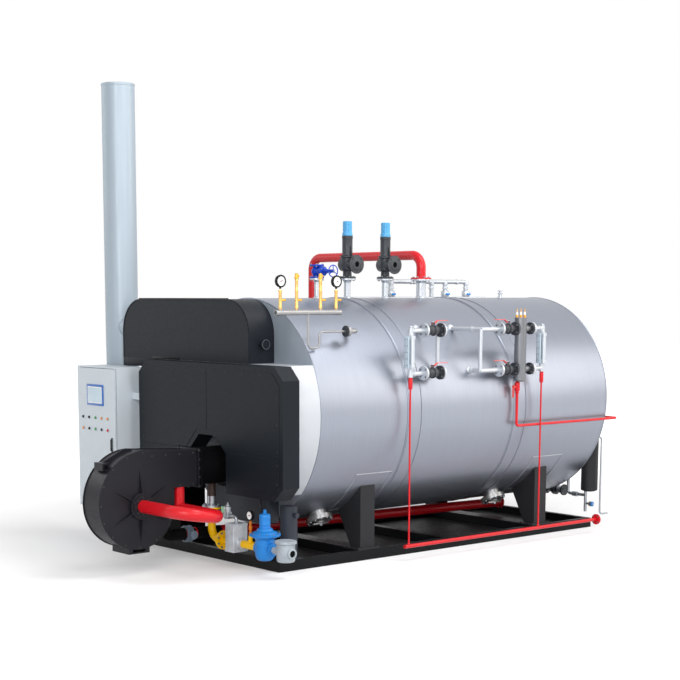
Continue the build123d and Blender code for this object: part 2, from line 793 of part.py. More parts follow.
with BuildPart() as cabinet_door:
    block(
        (CABINET_LEFT_X, CABINET_FRONT_Y, DOOR_BOTTOM_Z),
        (CABINET_RIGHT_X, CABINET_FRONT_Y + DOOR_T, DOOR_TOP_Z),
    )
    block(
        (HANDLE_X - HANDLE_R, CABINET_FRONT_Y - HANDLE_R, HANDLE_Z - HANDLE_LENGTH / 2),
        (HANDLE_X + HANDLE_R, CABINET_FRONT_Y, HANDLE_Z + HANDLE_LENGTH / 2),
    )
    for from_z, to_z in (
        (DOOR_BOTTOM_Z, DOOR_BOTTOM_Z + HINGE_PIN_LENGTH + PIN_CLEARANCE),
        (DOOR_TOP_Z - HINGE_PIN_LENGTH - PIN_CLEARANCE, DOOR_TOP_Z),
    ):
        rod(
            (HINGE_X, HINGE_Y, from_z),
            (HINGE_X, HINGE_Y, to_z),
            HINGE_PIN_R + PIN_CLEARANCE,
            mode=Mode.SUBTRACT,
        )
cabinet_door.part.label = "cabinet_door"
export_step(cabinet_door.part, "parts/cabinet_door.step")

ARM_Y = (HOOD_FRONT_Y + CABINET_BACK_Y) / 2

with BuildPart() as cabinet_arms:
    for arm_z in ARM_Z:
        block(
            (CABINET_RIGHT_X, ARM_Y - ARM_SIZE / 2, arm_z - ARM_SIZE / 2),
            (-HOOD_HALF_WIDTH, ARM_Y + ARM_SIZE / 2, arm_z + ARM_SIZE / 2),
        )
cabinet_arms.part.label = "cabinet_arms"
export_step(cabinet_arms.part, "parts/cabinet_arms.step")

# Burner: the fan's scroll with its outlet duct, the motor and the head in the boiler's opening
TOP_CENTRE = (FAN_Y + SCROLL_TOP_SHIFT, FAN_Z + SCROLL_TOP_SHIFT)
LEFT_CENTRE = (FAN_Y + SCROLL_LEFT_SHIFT, FAN_Z + SCROLL_TOP_SHIFT)
LOW_CENTRE = (FAN_Y + SCROLL_LEFT_SHIFT, FAN_Z + SCROLL_LOW_SHIFT)


def scroll_slab(from_x, thickness, grow):
    """The scroll seen along X: three quarter arcs of shrinking radius and the straight duct."""
    with BuildSketch(Plane.YZ.offset(from_x)) as side:
        with BuildLine():
            CenterArc(TOP_CENTRE, SCROLL_TOP_R + grow, 90, 90)
            CenterArc(LEFT_CENTRE, SCROLL_LEFT_R + grow, 180, 90)
            CenterArc(LOW_CENTRE, SCROLL_LOW_R + grow, 270, 90)
            Polyline(
                (LOW_CENTRE[0] + SCROLL_LOW_R + grow, LOW_CENTRE[1]),
                (LOW_CENTRE[0] + SCROLL_LOW_R + grow, DUCT_BOTTOM_Z - grow),
                (DUCT_END_Y, DUCT_BOTTOM_Z - grow),
                (DUCT_END_Y, DUCT_TOP_Z + grow),
                (TOP_CENTRE[0], TOP_CENTRE[1] + SCROLL_TOP_R + grow),
            )
        make_face()
    extrude(side.sketch, amount=thickness)


with BuildPart() as burner_housing:
    scroll_slab(-BURNER_HALF_WIDTH, 2 * BURNER_HALF_WIDTH, 0)
    for face_x in (-BURNER_HALF_WIDTH, BURNER_HALF_WIDTH - FACE_FLANGE_T):
        scroll_slab(face_x, FACE_FLANGE_T, FACE_FLANGE_PROUD)
    rod(
        (BURNER_HALF_WIDTH, FAN_Y, FAN_Z),
        (BURNER_HALF_WIDTH + FAN_INLET_T, FAN_Y, FAN_Z),
        FAN_INLET_R,
    )
    block(
        (-BURNER_HALF_WIDTH / 2, FAN_LUG_Y - FAN_LUG_TUBE / 2, FAN_LUG_Z - FAN_LUG_TUBE / 2),
        (BURNER_HALF_WIDTH / 2, FAN_LUG_Y + FAN_LUG_TUBE / 2, FAN_LUG_Z + FAN_LUG_TUBE / 2),
    )
    with BuildSketch(Plane.YZ.offset(-FAN_LUG_T / 2)):
        with BuildLine():
            Polyline(
                (FAN_LUG_Y, FAN_LUG_Z),
                (FAN_LUG_Y, FAN_LUG_Z + FAN_LUG_TUBE / 2),
                (FAN_Y - FAN_LUG_SLOPE_END, FAN_LUG_TOP_Z),
                (FAN_Y, FAN_LUG_TOP_Z),
                (FAN_Y, FAN_LUG_Z),
                close=True,
            )
        make_face()
    extrude(amount=FAN_LUG_T)
    block(
        (-BURNER_HALF_WIDTH, FAN_FOOT_Y[0], FAN_FOOT_Z),
        (BURNER_HALF_WIDTH, FAN_FOOT_Y[0] + FAN_FOOT_DEPTH, FAN_FOOT_Z + FAN_FOOT_H + FAN_FOOT_DEPTH),
    )
    block(
        (-BURNER_HALF_WIDTH, FAN_FOOT_Y[1] - FAN_FOOT_DEPTH, FAN_FOOT_Z),
        (BURNER_HALF_WIDTH, FAN_FOOT_Y[1], FAN_FOOT_Z + FAN_FOOT_H + FAN_FOOT_DEPTH),
    )
    block(
        (-BURNER_HALF_WIDTH, FAN_FOOT_Y[0], FAN_FOOT_Z),
        (BURNER_HALF_WIDTH, FAN_FOOT_Y[1], FAN_FOOT_Z + FAN_FOOT_BAR_T),
    )
burner_housing.part.label = "burner_housing"
export_step(burner_housing.part, "parts/burner_housing.step")

with BuildPart() as burner_motor:
    rod(
        (-BURNER_HALF_WIDTH, FAN_Y, FAN_Z),
        (-BURNER_HALF_WIDTH - MOTOR_LENGTH, FAN_Y, FAN_Z),
        MOTOR_R,
    )
    fillet(burner_motor.faces().sort_by(Axis.X)[0].edges(), MOTOR_EDGE_R)
burner_motor.part.label = "burner_motor"
export_step(burner_motor.part, "parts/burner_motor.step")

DUCT_MID_Z = (DUCT_TOP_Z + DUCT_BOTTOM_Z) / 2

with BuildPart() as burner_head:
    block(
        (-HEAD_FLANGE_HALF, DUCT_END_Y, DUCT_MID_Z - HEAD_FLANGE_HALF),
        (HEAD_FLANGE_HALF, DUCT_END_Y + HEAD_FLANGE_T, DUCT_MID_Z + HEAD_FLANGE_HALF),
    )
    rod((0, DUCT_END_Y, DUCT_MID_Z), (0, SHELL_FRONT_Y, DUCT_MID_Z), HEAD_R)
burner_head.part.label = "burner_head"
export_step(burner_head.part, "parts/burner_head.step")

# Flue gas return: the loop into the fan's inlet, the long pipe under the shell and its damper
RETURN_FOOT_Z = UNDER_PIPE_FRONT_Z + RISER_BEND_R + RETURN_FOOT_RISE

with BuildPart() as return_loop_pipe:
    pipe_run(
        [
            (BURNER_HALF_WIDTH + FAN_INLET_T, FAN_Y, FAN_Z),
            (LOOP_REACH_X, FAN_Y, FAN_Z),
            (LOOP_REACH_X, LOOP_LEG_Y, LOOP_LEG_Z),
            (RISER_X, LOOP_LEG_Y, LOOP_LEG_Z),
            (RISER_X, LOOP_LEG_Y, RETURN_FOOT_Z),
        ],
        RETURN_R,
        [LOOP_BEND_R, LOOP_BEND_R, RISER_BEND_R],
    )
    rod(
        (DUCT_BRANCH_X, LOOP_LEG_Y, LOOP_LEG_Z),
        (DUCT_BRANCH_X, LOOP_LEG_Y, DUCT_BOTTOM_Z - FACE_FLANGE_PROUD),
        DUCT_BRANCH_R,
    )
return_loop_pipe.part.label = "return_loop_pipe"
export_step(return_loop_pipe.part, "parts/return_loop_pipe.step")

UNDER_SLOPE = (UNDER_PIPE_REAR_Z - UNDER_PIPE_FRONT_Z) / (UNDER_PIPE_REAR_Y - LOOP_LEG_Y)


def under_pipe_point(at_y):
    """A point on the centre line of the pipe under the shell."""
    return (RISER_X, at_y, UNDER_PIPE_FRONT_Z + UNDER_SLOPE * (at_y - LOOP_LEG_Y))


with BuildPart() as return_under_pipe:
    pipe_run(
        [
            (RISER_X, LOOP_LEG_Y, RETURN_FOOT_Z),
            under_pipe_point(LOOP_LEG_Y),
            under_pipe_point(UNDER_PIPE_REAR_Y),
        ],
        UNDER_PIPE_R,
        RISER_BEND_R,
    )
    rod(
        under_pipe_point(UNDER_PIPE_REAR_Y),
        under_pipe_point(UNDER_PIPE_REAR_Y + UNDER_FLANGE_T),
        UNDER_FLANGE_R,
    )
    riser_y = UNDER_PIPE_REAR_Y - UNDER_PIPE_R
    rod(under_pipe_point(riser_y), (RISER_X, riser_y, SHELL_AXIS_Z), UNDER_RISER_R)
    shell_cut()
return_under_pipe.part.label = "return_under_pipe"
export_step(return_under_pipe.part, "parts/return_under_pipe.step")

with BuildPart() as return_damper:
    rod(under_pipe_point(DAMPER_Y[0]), under_pipe_point(DAMPER_Y[1]), DAMPER_R)
    spindle_y = (DAMPER_Y[0] + DAMPER_Y[1]) / 2
    spindle_z = under_pipe_point(spindle_y)[2]
    rod(
        (RISER_X, spindle_y, spindle_z),
        (DAMPER_SPINDLE_X, spindle_y, spindle_z),
        DAMPER_SPINDLE_R,
    )
    rod(
        (DAMPER_SPINDLE_X - DAMPER_KNOB_T, spindle_y, spindle_z),
        (DAMPER_SPINDLE_X, spindle_y, spindle_z),
        DAMPER_KNOB_R,
    )
    rod(
        under_pipe_point(DAMPER_Y[0] - DAMPER_R),
        under_pipe_point(DAMPER_Y[1] + DAMPER_R),
        UNDER_PIPE_R,
        mode=Mode.SUBTRACT,
    )
return_damper.part.label = "return_damper"
export_step(return_damper.part, "parts/return_damper.step")

# Gas train, along X in front of the skid's front rail
RISER_TOP_Z = DUCT_MID_Z

with BuildPart() as gas_riser:
    rod((0, TRAIN_Y, GAS_RISER_FLANGE_Z), (0, TRAIN_Y, RISER_TOP_Z), GAS_PIPE_R)
    rod(
        (0, TRAIN_Y, GAS_RISER_FLANGE_Z),
        (0, TRAIN_Y, GAS_RISER_FLANGE_Z + GAS_FLANGE_T),
        GAS_FLANGE_R,
    )
    rod((0, DUCT_END_Y, DUCT_MID_Z), (0, SHELL_FRONT_Y, DUCT_MID_Z), HEAD_R, mode=Mode.SUBTRACT)
gas_riser.part.label = "gas_riser"
export_step(gas_riser.part, "parts/gas_riser.step")

TEE_TOP_Z = TRAIN_Z + TEE_H
BLOCK_RING_END_X = BLOCK_X[1] + BLOCK_RING_LENGTH

with BuildPart() as gas_pipes:
    rod(
        (0, TRAIN_Y, GAS_RISER_FLANGE_Z - GAS_FLANGE_T),
        (0, TRAIN_Y, GAS_RISER_FLANGE_Z),
        GAS_FLANGE_R,
    )
    pipe_run(
        [
            (0, TRAIN_Y, GAS_RISER_FLANGE_Z - GAS_FLANGE_T),
            (0, TRAIN_Y, TRAIN_Z),
            (BLOCK_X[0], TRAIN_Y, TRAIN_Z),
        ],
        GAS_PIPE_R,
        GAS_BEND_R,
    )
    rod((ELBOW_FLANGE_X, TRAIN_Y, TRAIN_Z), (ELBOW_FLANGE_X + GAS_FLANGE_T, TRAIN_Y, TRAIN_Z), GAS_FLANGE_R)
    rod((BLOCK_RING_END_X, TRAIN_Y, TRAIN_Z), (REGULATOR_X, TRAIN_Y, TRAIN_Z), GAS_PIPE_R)
    rod((TEE_X, TRAIN_Y, TRAIN_Z), (TEE_X, TRAIN_Y, TEE_TOP_Z), TEE_R)
    rod(
        (REGULATOR_X, TRAIN_Y, 0),
        (REGULATOR_X, TRAIN_Y, GAS_RISER_FLANGE_Z),
        REGULATOR_BODY_R,
        mode=Mode.SUBTRACT,
    )
gas_pipes.part.label = "gas_pipes"
export_step(gas_pipes.part, "parts/gas_pipes.step")

with BuildPart() as gas_valve_block:
    block(
        (BLOCK_X[0], TRAIN_Y - BLOCK_HALF_DEPTH, BLOCK_BOTTOM_Z),
        (BLOCK_X[1], TRAIN_Y + BLOCK_HALF_DEPTH, BLOCK_TOP_Z),
    )
    rod((BLOCK_X[1], TRAIN_Y, TRAIN_Z), (BLOCK_RING_END_X, TRAIN_Y, TRAIN_Z), BLOCK_RING_R)
gas_valve_block.part.label = "gas_valve_block"
export_step(gas_valve_block.part, "parts/gas_valve_block.step")

with BuildPart() as pilot_gas_valve:
    rod((PILOT_X, TRAIN_Y, PILOT_LOW_Z), (PILOT_X, TRAIN_Y, PILOT_TOP_Z - PILOT_BODY_R), PILOT_BODY_R)
    rod((PILOT_X, TRAIN_Y, PILOT_TUBE_Z), (PILOT_X, TRAIN_Y, PILOT_TOP_Z), PILOT_CAP_R)
    pipe_run(
        [
            (PILOT_X + PILOT_R, TRAIN_Y, PILOT_TUBE_Z),
            (PILOT_TUBE_X, TRAIN_Y, PILOT_TUBE_Z),
            (PILOT_TUBE_X, TRAIN_Y, BLOCK_TOP_Z),
        ],
        PILOT_TUBE_R,
        PILOT_BEND_R,
    )
    rod((GAS_PIPE_R, TRAIN_Y, PILOT_TUBE_Z), (PILOT_X - PILOT_R, TRAIN_Y, PILOT_TUBE_Z), PILOT_R)
    block(
        (PILOT_X - PILOT_BODY_R - PILOT_BOX, TRAIN_Y - PILOT_BOX / 2, PILOT_TUBE_Z),
        (PILOT_X - PILOT_R, TRAIN_Y + PILOT_BOX / 2, PILOT_TUBE_Z + PILOT_BOX_H),
    )
pilot_gas_valve.part.label = "pilot_gas_valve"
export_step(pilot_gas_valve.part, "parts/pilot_gas_valve.step")

with BuildPart() as gas_regulator:
    for low_z, high_z, radius in REGULATOR_LEVELS:
        rod((REGULATOR_X, TRAIN_Y, low_z), (REGULATOR_X, TRAIN_Y, high_z), radius)
    rod((REGULATOR_X, TRAIN_Y, TRAIN_Z), (REGULATOR_X + REGULATOR_PORT, TRAIN_Y, TRAIN_Z), REGULATOR_PORT_R)
gas_regulator.part.label = "gas_regulator"
export_step(gas_regulator.part, "parts/gas_regulator.step")

FILTER_BOSS_X = FILTER_X + FILTER_R + FILTER_BOSS_PROUD

with BuildPart() as gas_filter:
    rod((FILTER_X, TRAIN_Y, FILTER_BOTTOM_Z), (FILTER_X, TRAIN_Y, FILTER_TOP_Z), FILTER_R)
    rod((FILTER_X, TRAIN_Y, FILTER_TOP_Z - FILTER_RIM_H), (FILTER_X, TRAIN_Y, FILTER_TOP_Z), FILTER_TOP_R)
    rod((FILTER_X, TRAIN_Y, TRAIN_Z), (FILTER_BOSS_X, TRAIN_Y, TRAIN_Z), FILTER_BOSS_R)
    rod((FILTER_X, TRAIN_Y, TRAIN_Z), (FILTER_BOSS_X, TRAIN_Y, TRAIN_Z), FILTER_PORT_R, mode=Mode.SUBTRACT)
    rod((REGULATOR_X + REGULATOR_PORT, TRAIN_Y, TRAIN_Z), (FILTER_X, TRAIN_Y, TRAIN_Z), FILTER_STUB_R)
gas_filter.part.label = "gas_filter"
export_step(gas_filter.part, "parts/gas_filter.step")

# Upright pipe on the skid's front corner
UPRIGHT_PORT_X = UPRIGHT_X + UPRIGHT_PORT_LENGTH

with BuildPart() as upright_pipe:
    rod((UPRIGHT_X, UPRIGHT_Y, RAIL_H), (UPRIGHT_X, UPRIGHT_Y, UPRIGHT_TOP_Z), UPRIGHT_R)
    with Locations((UPRIGHT_X, UPRIGHT_Y, RAIL_H + UPRIGHT_FOOT_T / 2)):
        Box(UPRIGHT_FOOT, UPRIGHT_FOOT, UPRIGHT_FOOT_T)
    rod((UPRIGHT_X, UPRIGHT_Y, UPRIGHT_PORT_Z), (UPRIGHT_PORT_X, UPRIGHT_Y, UPRIGHT_PORT_Z), UPRIGHT_PORT_R)
upright_pipe.part.label = "upright_pipe"
export_step(upright_pipe.part, "parts/upright_pipe.step")

# Gauge manifold: the pipe, its cocks, the two pressure gauges and the siphon back to the shell
with BuildPart() as gauge_cocks:
    for index, cock_y in enumerate(COCK_Y):
        short = index in (0, len(COCK_Y) - 1)
        top_z = SHORT_COCK_TOP_Z if short else TALL_COCK_TOP_Z
        rod((MANIFOLD_X, cock_y, MANIFOLD_Z), (MANIFOLD_X, cock_y, top_z), COCK_R)
        rod(
            (MANIFOLD_X, cock_y, COCK_HANDLE_Z),
            (MANIFOLD_X, cock_y + COCK_R + COCK_HANDLE_LENGTH, COCK_HANDLE_Z),
            COCK_HANDLE_R,
        )
    rod(
        (MANIFOLD_X, MANIFOLD_Y[0], MANIFOLD_Z),
        (MANIFOLD_X, MANIFOLD_Y[1], MANIFOLD_Z),
        MANIFOLD_R,
        mode=Mode.SUBTRACT,
    )
gauge_cocks.part.label = "gauge_cocks"
export_step(gauge_cocks.part, "parts/gauge_cocks.step")

with BuildPart() as pressure_gauges:
    for cock_y in (COCK_Y[0], COCK_Y[-1]):
        rod(
            (MANIFOLD_X - GAUGE_T / 2, cock_y, GAUGE_Z),
            (MANIFOLD_X + GAUGE_T / 2, cock_y, GAUGE_Z),
            GAUGE_R,
        )
        rod((MANIFOLD_X, cock_y, SHORT_COCK_TOP_Z), (MANIFOLD_X, cock_y, GAUGE_Z), GAUGE_STEM_R)
    rod((TEE_X, TRAIN_Y, TEE_TOP_Z), (TEE_X, TRAIN_Y, GAS_GAUGE_Z - GAS_GAUGE_R / 2), GAS_STEM_R)
    rod(
        (TEE_X, TRAIN_Y - GAS_GAUGE_T / 2, GAS_GAUGE_Z),
        (TEE_X, TRAIN_Y + GAS_GAUGE_T / 2, GAS_GAUGE_Z),
        GAS_GAUGE_R,
    )
pressure_gauges.part.label = "pressure_gauges"
export_step(pressure_gauges.part, "parts/pressure_gauges.step")

with BuildPart() as gauge_manifold:
    rod((MANIFOLD_X, MANIFOLD_Y[0], MANIFOLD_Z), (MANIFOLD_X, MANIFOLD_Y[1], MANIFOLD_Z), MANIFOLD_R)
    pipe_run(
        [
            (MANIFOLD_X, SIPHON_DROP_Y, MANIFOLD_Z),
            (MANIFOLD_X, SIPHON_DROP_Y, SIPHON_LOW_Z),
            (MANIFOLD_X, SIPHON_RISE_Y, SIPHON_LOW_Z),
            (MANIFOLD_X, SIPHON_RISE_Y, SIPHON_Z),
            (MANIFOLD_X, SIPHON_FLANGE_Y, SIPHON_Z),
        ],
        SIPHON_R,
        SIPHON_BEND_R,
    )
    pipe_run(
        [
            (MANIFOLD_X, SIPHON_FLANGE_Y, SIPHON_Z),
            (MANIFOLD_X, SIPHON_TURN_Y, SIPHON_Z),
            (0, SIPHON_TURN_Y, SIPHON_Z),
        ],
        SIPHON_STUB_R,
        SIPHON_BEND_R,
    )
    rod(
        (MANIFOLD_X, SIPHON_FLANGE_Y, SIPHON_Z),
        (MANIFOLD_X, SIPHON_FLANGE_Y + NOZZLE_FLANGE_T, SIPHON_Z),
        SIPHON_FLANGE_R,
    )
    shell_cut()
gauge_manifold.part.label = "gauge_manifold"
export_step(gauge_manifold.part, "parts/gauge_manifold.step")


# Nozzles along the top of the shell
def top_nozzle(at_y, pipe_r, flange_r, top_z):
    """A stub on the shell's crown with a flange at its top."""
    rod((0, at_y, SHELL_AXIS_Z), (0, at_y, top_z), pipe_r)
    rod((0, at_y, top_z - NOZZLE_FLANGE_T), (0, at_y, top_z), flange_r)


with BuildPart() as top_nozzles:
    for safety_y in SAFETY_Y:
        top_nozzle(safety_y, SAFETY_NOZZLE_R, SAFETY_FLANGE_R, NOZZLE_TOP_Z)
    top_nozzle(STEAM_Y, STEAM_PIPE_R, STEAM_FLANGE_R, NOZZLE_TOP_Z)
    top_nozzle(GLOBE_Y, GLOBE_NOZZLE_R, GLOBE_FLANGE_R, NOZZLE_TOP_Z)
    rod((0, VENT_Y, SHELL_AXIS_Z), (0, VENT_Y, VENT_TOP_Z), VENT_R)
    shell_cut()
top_nozzles.part.label = "top_nozzles"
export_step(top_nozzles.part, "parts/top_nozzles.step")

with BuildPart() as steam_pipe:
    pipe_run(
        [
            (0, STEAM_Y, NOZZLE_TOP_Z),
            (0, STEAM_Y, STEAM_RUN_Z),
            (STEAM_FAR_X, STEAM_Y, STEAM_RUN_Z),
            (STEAM_FAR_X, STEAM_Y, STEAM_END_Z),
        ],
        STEAM_PIPE_R,
        STEAM_BEND_R,
    )
    rod((0, STEAM_Y, NOZZLE_TOP_Z), (0, STEAM_Y, NOZZLE_TOP_Z + NOZZLE_FLANGE_T), STEAM_FLANGE_R)
    rod(
        (STEAM_FAR_X, STEAM_Y, STEAM_END_Z),
        (STEAM_FAR_X, STEAM_Y, STEAM_END_Z + NOZZLE_FLANGE_T),
        STEAM_FLANGE_R,
    )
steam_pipe.part.label = "steam_pipe"
export_step(steam_pipe.part, "parts/steam_pipe.step")

with BuildPart() as safety_valves:
    for safety_y in SAFETY_Y:
        rod((0, safety_y, NOZZLE_TOP_Z), (0, safety_y, NOZZLE_TOP_Z + NOZZLE_FLANGE_T), SAFETY_FLANGE_R)
        rod((0, safety_y, NOZZLE_TOP_Z), (0, safety_y, SAFETY_SPRING_TOP_Z), SAFETY_THROAT_R)
        rod((0, safety_y, SAFETY_BODY_Z[0]), (0, safety_y, SAFETY_BODY_Z[1]), SAFETY_BODY_R)
        rod((0, safety_y, SAFETY_BODY_Z[1]), (0, safety_y, SAFETY_SPRING_TOP_Z), SAFETY_SPRING_R)
        rod((0, safety_y, SAFETY_OUTLET_Z), (SAFETY_OUTLET_X, safety_y, SAFETY_OUTLET_Z), SAFETY_OUTLET_R)
        rod(
            (SAFETY_OUTLET_X - NOZZLE_FLANGE_T, safety_y, SAFETY_OUTLET_Z),
            (SAFETY_OUTLET_X, safety_y, SAFETY_OUTLET_Z),
            SAFETY_OUTLET_FLANGE_R,
        )
        rod(
            (SAFETY_OUTLET_X - SAFETY_OUTLET_R, safety_y, SAFETY_OUTLET_Z),
            (SAFETY_OUTLET_X, safety_y, SAFETY_OUTLET_Z),
            SAFETY_OUTLET_BORE_R,
            mode=Mode.SUBTRACT,
        )
safety_valves.part.label = "safety_valves"
export_step(safety_valves.part, "parts/safety_valves.step")

with BuildPart() as safety_valve_caps:
    for safety_y in SAFETY_Y:
        rod((0, safety_y, SAFETY_SPRING_TOP_Z), (0, safety_y, CAP_TOP_Z), CAP_R)
        rod(
            (0, safety_y, SAFETY_SPRING_TOP_Z),
            (0, safety_y, SAFETY_SPRING_TOP_Z + CAP_COLLAR_H),
            CAP_COLLAR_R,
        )
safety_valve_caps.part.label = "safety_valve_caps"
export_step(safety_valve_caps.part, "parts/safety_valve_caps.step")

# Globe valve with its handwheel, which turns on the stem
WHEEL_Z = (NOZZLE_TOP_Z + GLOBE_TOP_Z) / 2
STEM_END_X = WHEEL_X + WHEEL_HUB_T / 2 + GLOBE_STEM_PROUD

with BuildPart() as globe_valve:
    rod((0, GLOBE_Y, NOZZLE_TOP_Z), (0, GLOBE_Y, GLOBE_TOP_Z), GLOBE_BODY_R)
    for low_z in (NOZZLE_TOP_Z, GLOBE_TOP_Z - NOZZLE_FLANGE_T):
        rod((0, GLOBE_Y, low_z), (0, GLOBE_Y, low_z + NOZZLE_FLANGE_T), GLOBE_FLANGE_R)
    rod((0, GLOBE_Y, WHEEL_Z), (GLOBE_BONNET_X[1], GLOBE_Y, WHEEL_Z), GLOBE_NECK_R)
    rod((GLOBE_BONNET_X[0], GLOBE_Y, WHEEL_Z), (GLOBE_BONNET_X[1], GLOBE_Y, WHEEL_Z), GLOBE_BONNET_R)
    rod((0, GLOBE_Y, WHEEL_Z), (STEM_END_X, GLOBE_Y, WHEEL_Z), GLOBE_STEM_R)
globe_valve.part.label = "globe_valve"
export_step(globe_valve.part, "parts/globe_valve.step")

with BuildPart() as globe_handwheel:
    with Locations(Location((WHEEL_X, GLOBE_Y, WHEEL_Z), (0, 90, 0))):
        Torus(WHEEL_R, WHEEL_RIM_R)
    rod(
        (WHEEL_X - WHEEL_HUB_T / 2, GLOBE_Y, WHEEL_Z),
        (WHEEL_X + WHEEL_HUB_T / 2, GLOBE_Y, WHEEL_Z),
        WHEEL_HUB_R,
    )
    for spoke in range(WHEEL_SPOKES):
        angle = radians(90 + spoke * 360 / WHEEL_SPOKES)
        rod(
            (WHEEL_X, GLOBE_Y, WHEEL_Z),
            (WHEEL_X, GLOBE_Y + WHEEL_R * cos(angle), WHEEL_Z + WHEEL_R * sin(angle)),
            SPOKE_R,
        )
    rod(
        (WHEEL_X - WHEEL_HUB_T, GLOBE_Y, WHEEL_Z),
        (WHEEL_X + WHEEL_HUB_T, GLOBE_Y, WHEEL_Z),
        GLOBE_STEM_R + PIN_CLEARANCE,
        mode=Mode.SUBTRACT,
    )
globe_handwheel.part.label = "globe_handwheel"
export_step(globe_handwheel.part, "parts/globe_handwheel.step")

# Feed water pipes behind the crown, with their shut-off valves
with BuildPart() as feed_pipes:
    pipe_run(
        [
            (FEED_X, FEED_START_Y, SHELL_AXIS_Z),
            (FEED_X, FEED_START_Y, FEED_Z),
            (FEED_X, FEED_END_Y, FEED_Z),
            (FEED_X, FEED_END_Y, SHELL_AXIS_Z),
        ],
        FEED_R,
        FEED_BEND_R,
    )
    for drop_y in FEED_DROPS_Y:
        rod((FEED_X, drop_y, SHELL_AXIS_Z), (FEED_X, drop_y, FEED_Z), FEED_DROP_R)
    for valve_y in FEED_VALVED_Y:
        rod(
            (FEED_X, valve_y, FEED_VALVE_Z - FEED_VALVE_H / 2),
            (FEED_X, valve_y, FEED_VALVE_Z + FEED_VALVE_H / 2),
            FEED_VALVE_R,
        )
    pipe_run(
        [
            (TRACE_X, TRACE_Y[0], SHELL_AXIS_Z),
            (TRACE_X, TRACE_Y[0], TRACE_Z),
            (TRACE_X, TRACE_Y[1], TRACE_Z),
            (TRACE_X, TRACE_Y[1], SHELL_AXIS_Z),
        ],
        TRACE_R,
        TRACE_BEND_R,
    )
    shell_cut()
feed_pipes.part.label = "feed_pipes"
export_step(feed_pipes.part, "parts/feed_pipes.step")

# Level instruments: stubs from the shell, standpipes, gauges and the electrode column
FRONT_RISE_Y = GAUGE_GLASS_Y[0]
SILVER_FLANGE = (-146, -124)
VALVE_END = (-124, -104)
BLACK_FLANGE = (104, 126)
LEVELS = (LEVEL_LOW_Z, LEVEL_TOP_Z)
TEE_BELOW = 40
GLASS_TEE_R = 29

with BuildPart() as level_pipes:
    for level_z in LEVELS:
        pipe_run(
            [
                (LEVEL_X, VALVE_Y[0] + BLACK_FLANGE[1], level_z),
                (LEVEL_X, FRONT_STUB_Y, level_z),
                (0, FRONT_STUB_Y, level_z),
            ],
            LEVEL_PIPE_R,
            LEVEL_BEND_R,
        )
        rod((LEVEL_X, REAR_STUB_Y, level_z), (0, REAR_STUB_Y, level_z), LEVEL_PIPE_R)
        for front_y, valve_y in ((FRONT_RISE_Y, VALVE_Y[0]), (REAR_STUB_Y, VALVE_Y[1])):
            flange_y = valve_y + SILVER_FLANGE[0]
            rod((LEVEL_X, front_y, level_z), (LEVEL_X, flange_y, level_z), LEVEL_PIPE_R)
            rod(
                (LEVEL_X, flange_y, level_z),
                (LEVEL_X, valve_y + SILVER_FLANGE[1], level_z),
                VALVE_FLANGE_R,
            )
        rod(
            (LEVEL_X, COLUMN_FLANGE_Y + COLUMN_FLANGE_T, level_z),
            (LEVEL_X, GAUGE_GLASS_Y[1], level_z),
            LEVEL_PIPE_R,
        )
    rod((LEVEL_X, REAR_STUB_Y, LEVEL_LOW_Z), (LEVEL_X, REAR_STUB_Y, LEVEL_TOP_Z), STAND_R)
    rod((FRONT_STAND_X, FRONT_STUB_Y, LEVEL_LOW_Z), (FRONT_STAND_X, FRONT_STUB_Y, LEVEL_TOP_Z), STAND_R)
    for gauge_y in GAUGE_GLASS_Y:
        rod((LEVEL_X, gauge_y, LEVEL_LOW_Z - TEE_BELOW), (LEVEL_X, gauge_y, GLASS_Z[0]), GLASS_TEE_R)
        rod((LEVEL_X, gauge_y, GLASS_Z[1]), (LEVEL_X, gauge_y, LEVEL_TOP_Z + GLASS_TEE_R), GLASS_TEE_R)
    shell_cut()
level_pipes.part.label = "level_pipes"
export_step(level_pipes.part, "parts/level_pipes.step")

with BuildPart() as level_gauges:
    for gauge_y in GAUGE_GLASS_Y:
        block(
            (LEVEL_X - GLASS_DEPTH / 2, gauge_y - GLASS_WIDTH / 2, GLASS_Z[0]),
            (LEVEL_X + GLASS_DEPTH / 2, gauge_y + GLASS_WIDTH / 2, GLASS_Z[1]),
        )
level_gauges.part.label = "level_gauges"
export_step(level_gauges.part, "parts/level_gauges.step")

LEVER_FLOOR = 70
VALVE_NECK_R = 34

with BuildPart() as level_ball_valves:
    for level_z in LEVELS:
        for valve_y in VALVE_Y:
            rod(
                (LEVEL_X, valve_y + VALVE_END[0], level_z),
                (LEVEL_X, valve_y + VALVE_END[1], level_z),
                VALVE_END_R,
            )
            rod(
                (LEVEL_X, valve_y + BLACK_FLANGE[0], level_z),
                (LEVEL_X, valve_y + BLACK_FLANGE[1], level_z),
                VALVE_FLANGE_R,
            )
            rod(
                (LEVEL_X, valve_y + VALVE_END[0], level_z),
                (LEVEL_X, valve_y + BLACK_FLANGE[1], level_z),
                VALVE_NECK_R,
            )
            rod(
                (LEVEL_X, valve_y - VALVE_BODY_LENGTH / 2, level_z),
                (LEVEL_X, valve_y + VALVE_BODY_LENGTH / 2, level_z),
                VALVE_BODY_R,
            )
            rod((LEVEL_X, valve_y, level_z), (LEVEL_X, valve_y, level_z + BONNET_TOP), BONNET_R)
            rod(
                (LEVEL_X, valve_y, level_z),
                (LEVEL_X, valve_y, level_z + LEVER_FLOOR + LEVER_HUB_H + LEVER_STEM_PROUD),
                LEVER_STEM_R,
            )
level_ball_valves.part.label = "level_ball_valves"
export_step(level_ball_valves.part, "parts/level_ball_valves.step")

COLUMN_NECK_Y = VALVE_Y[1] + BLACK_FLANGE[1]

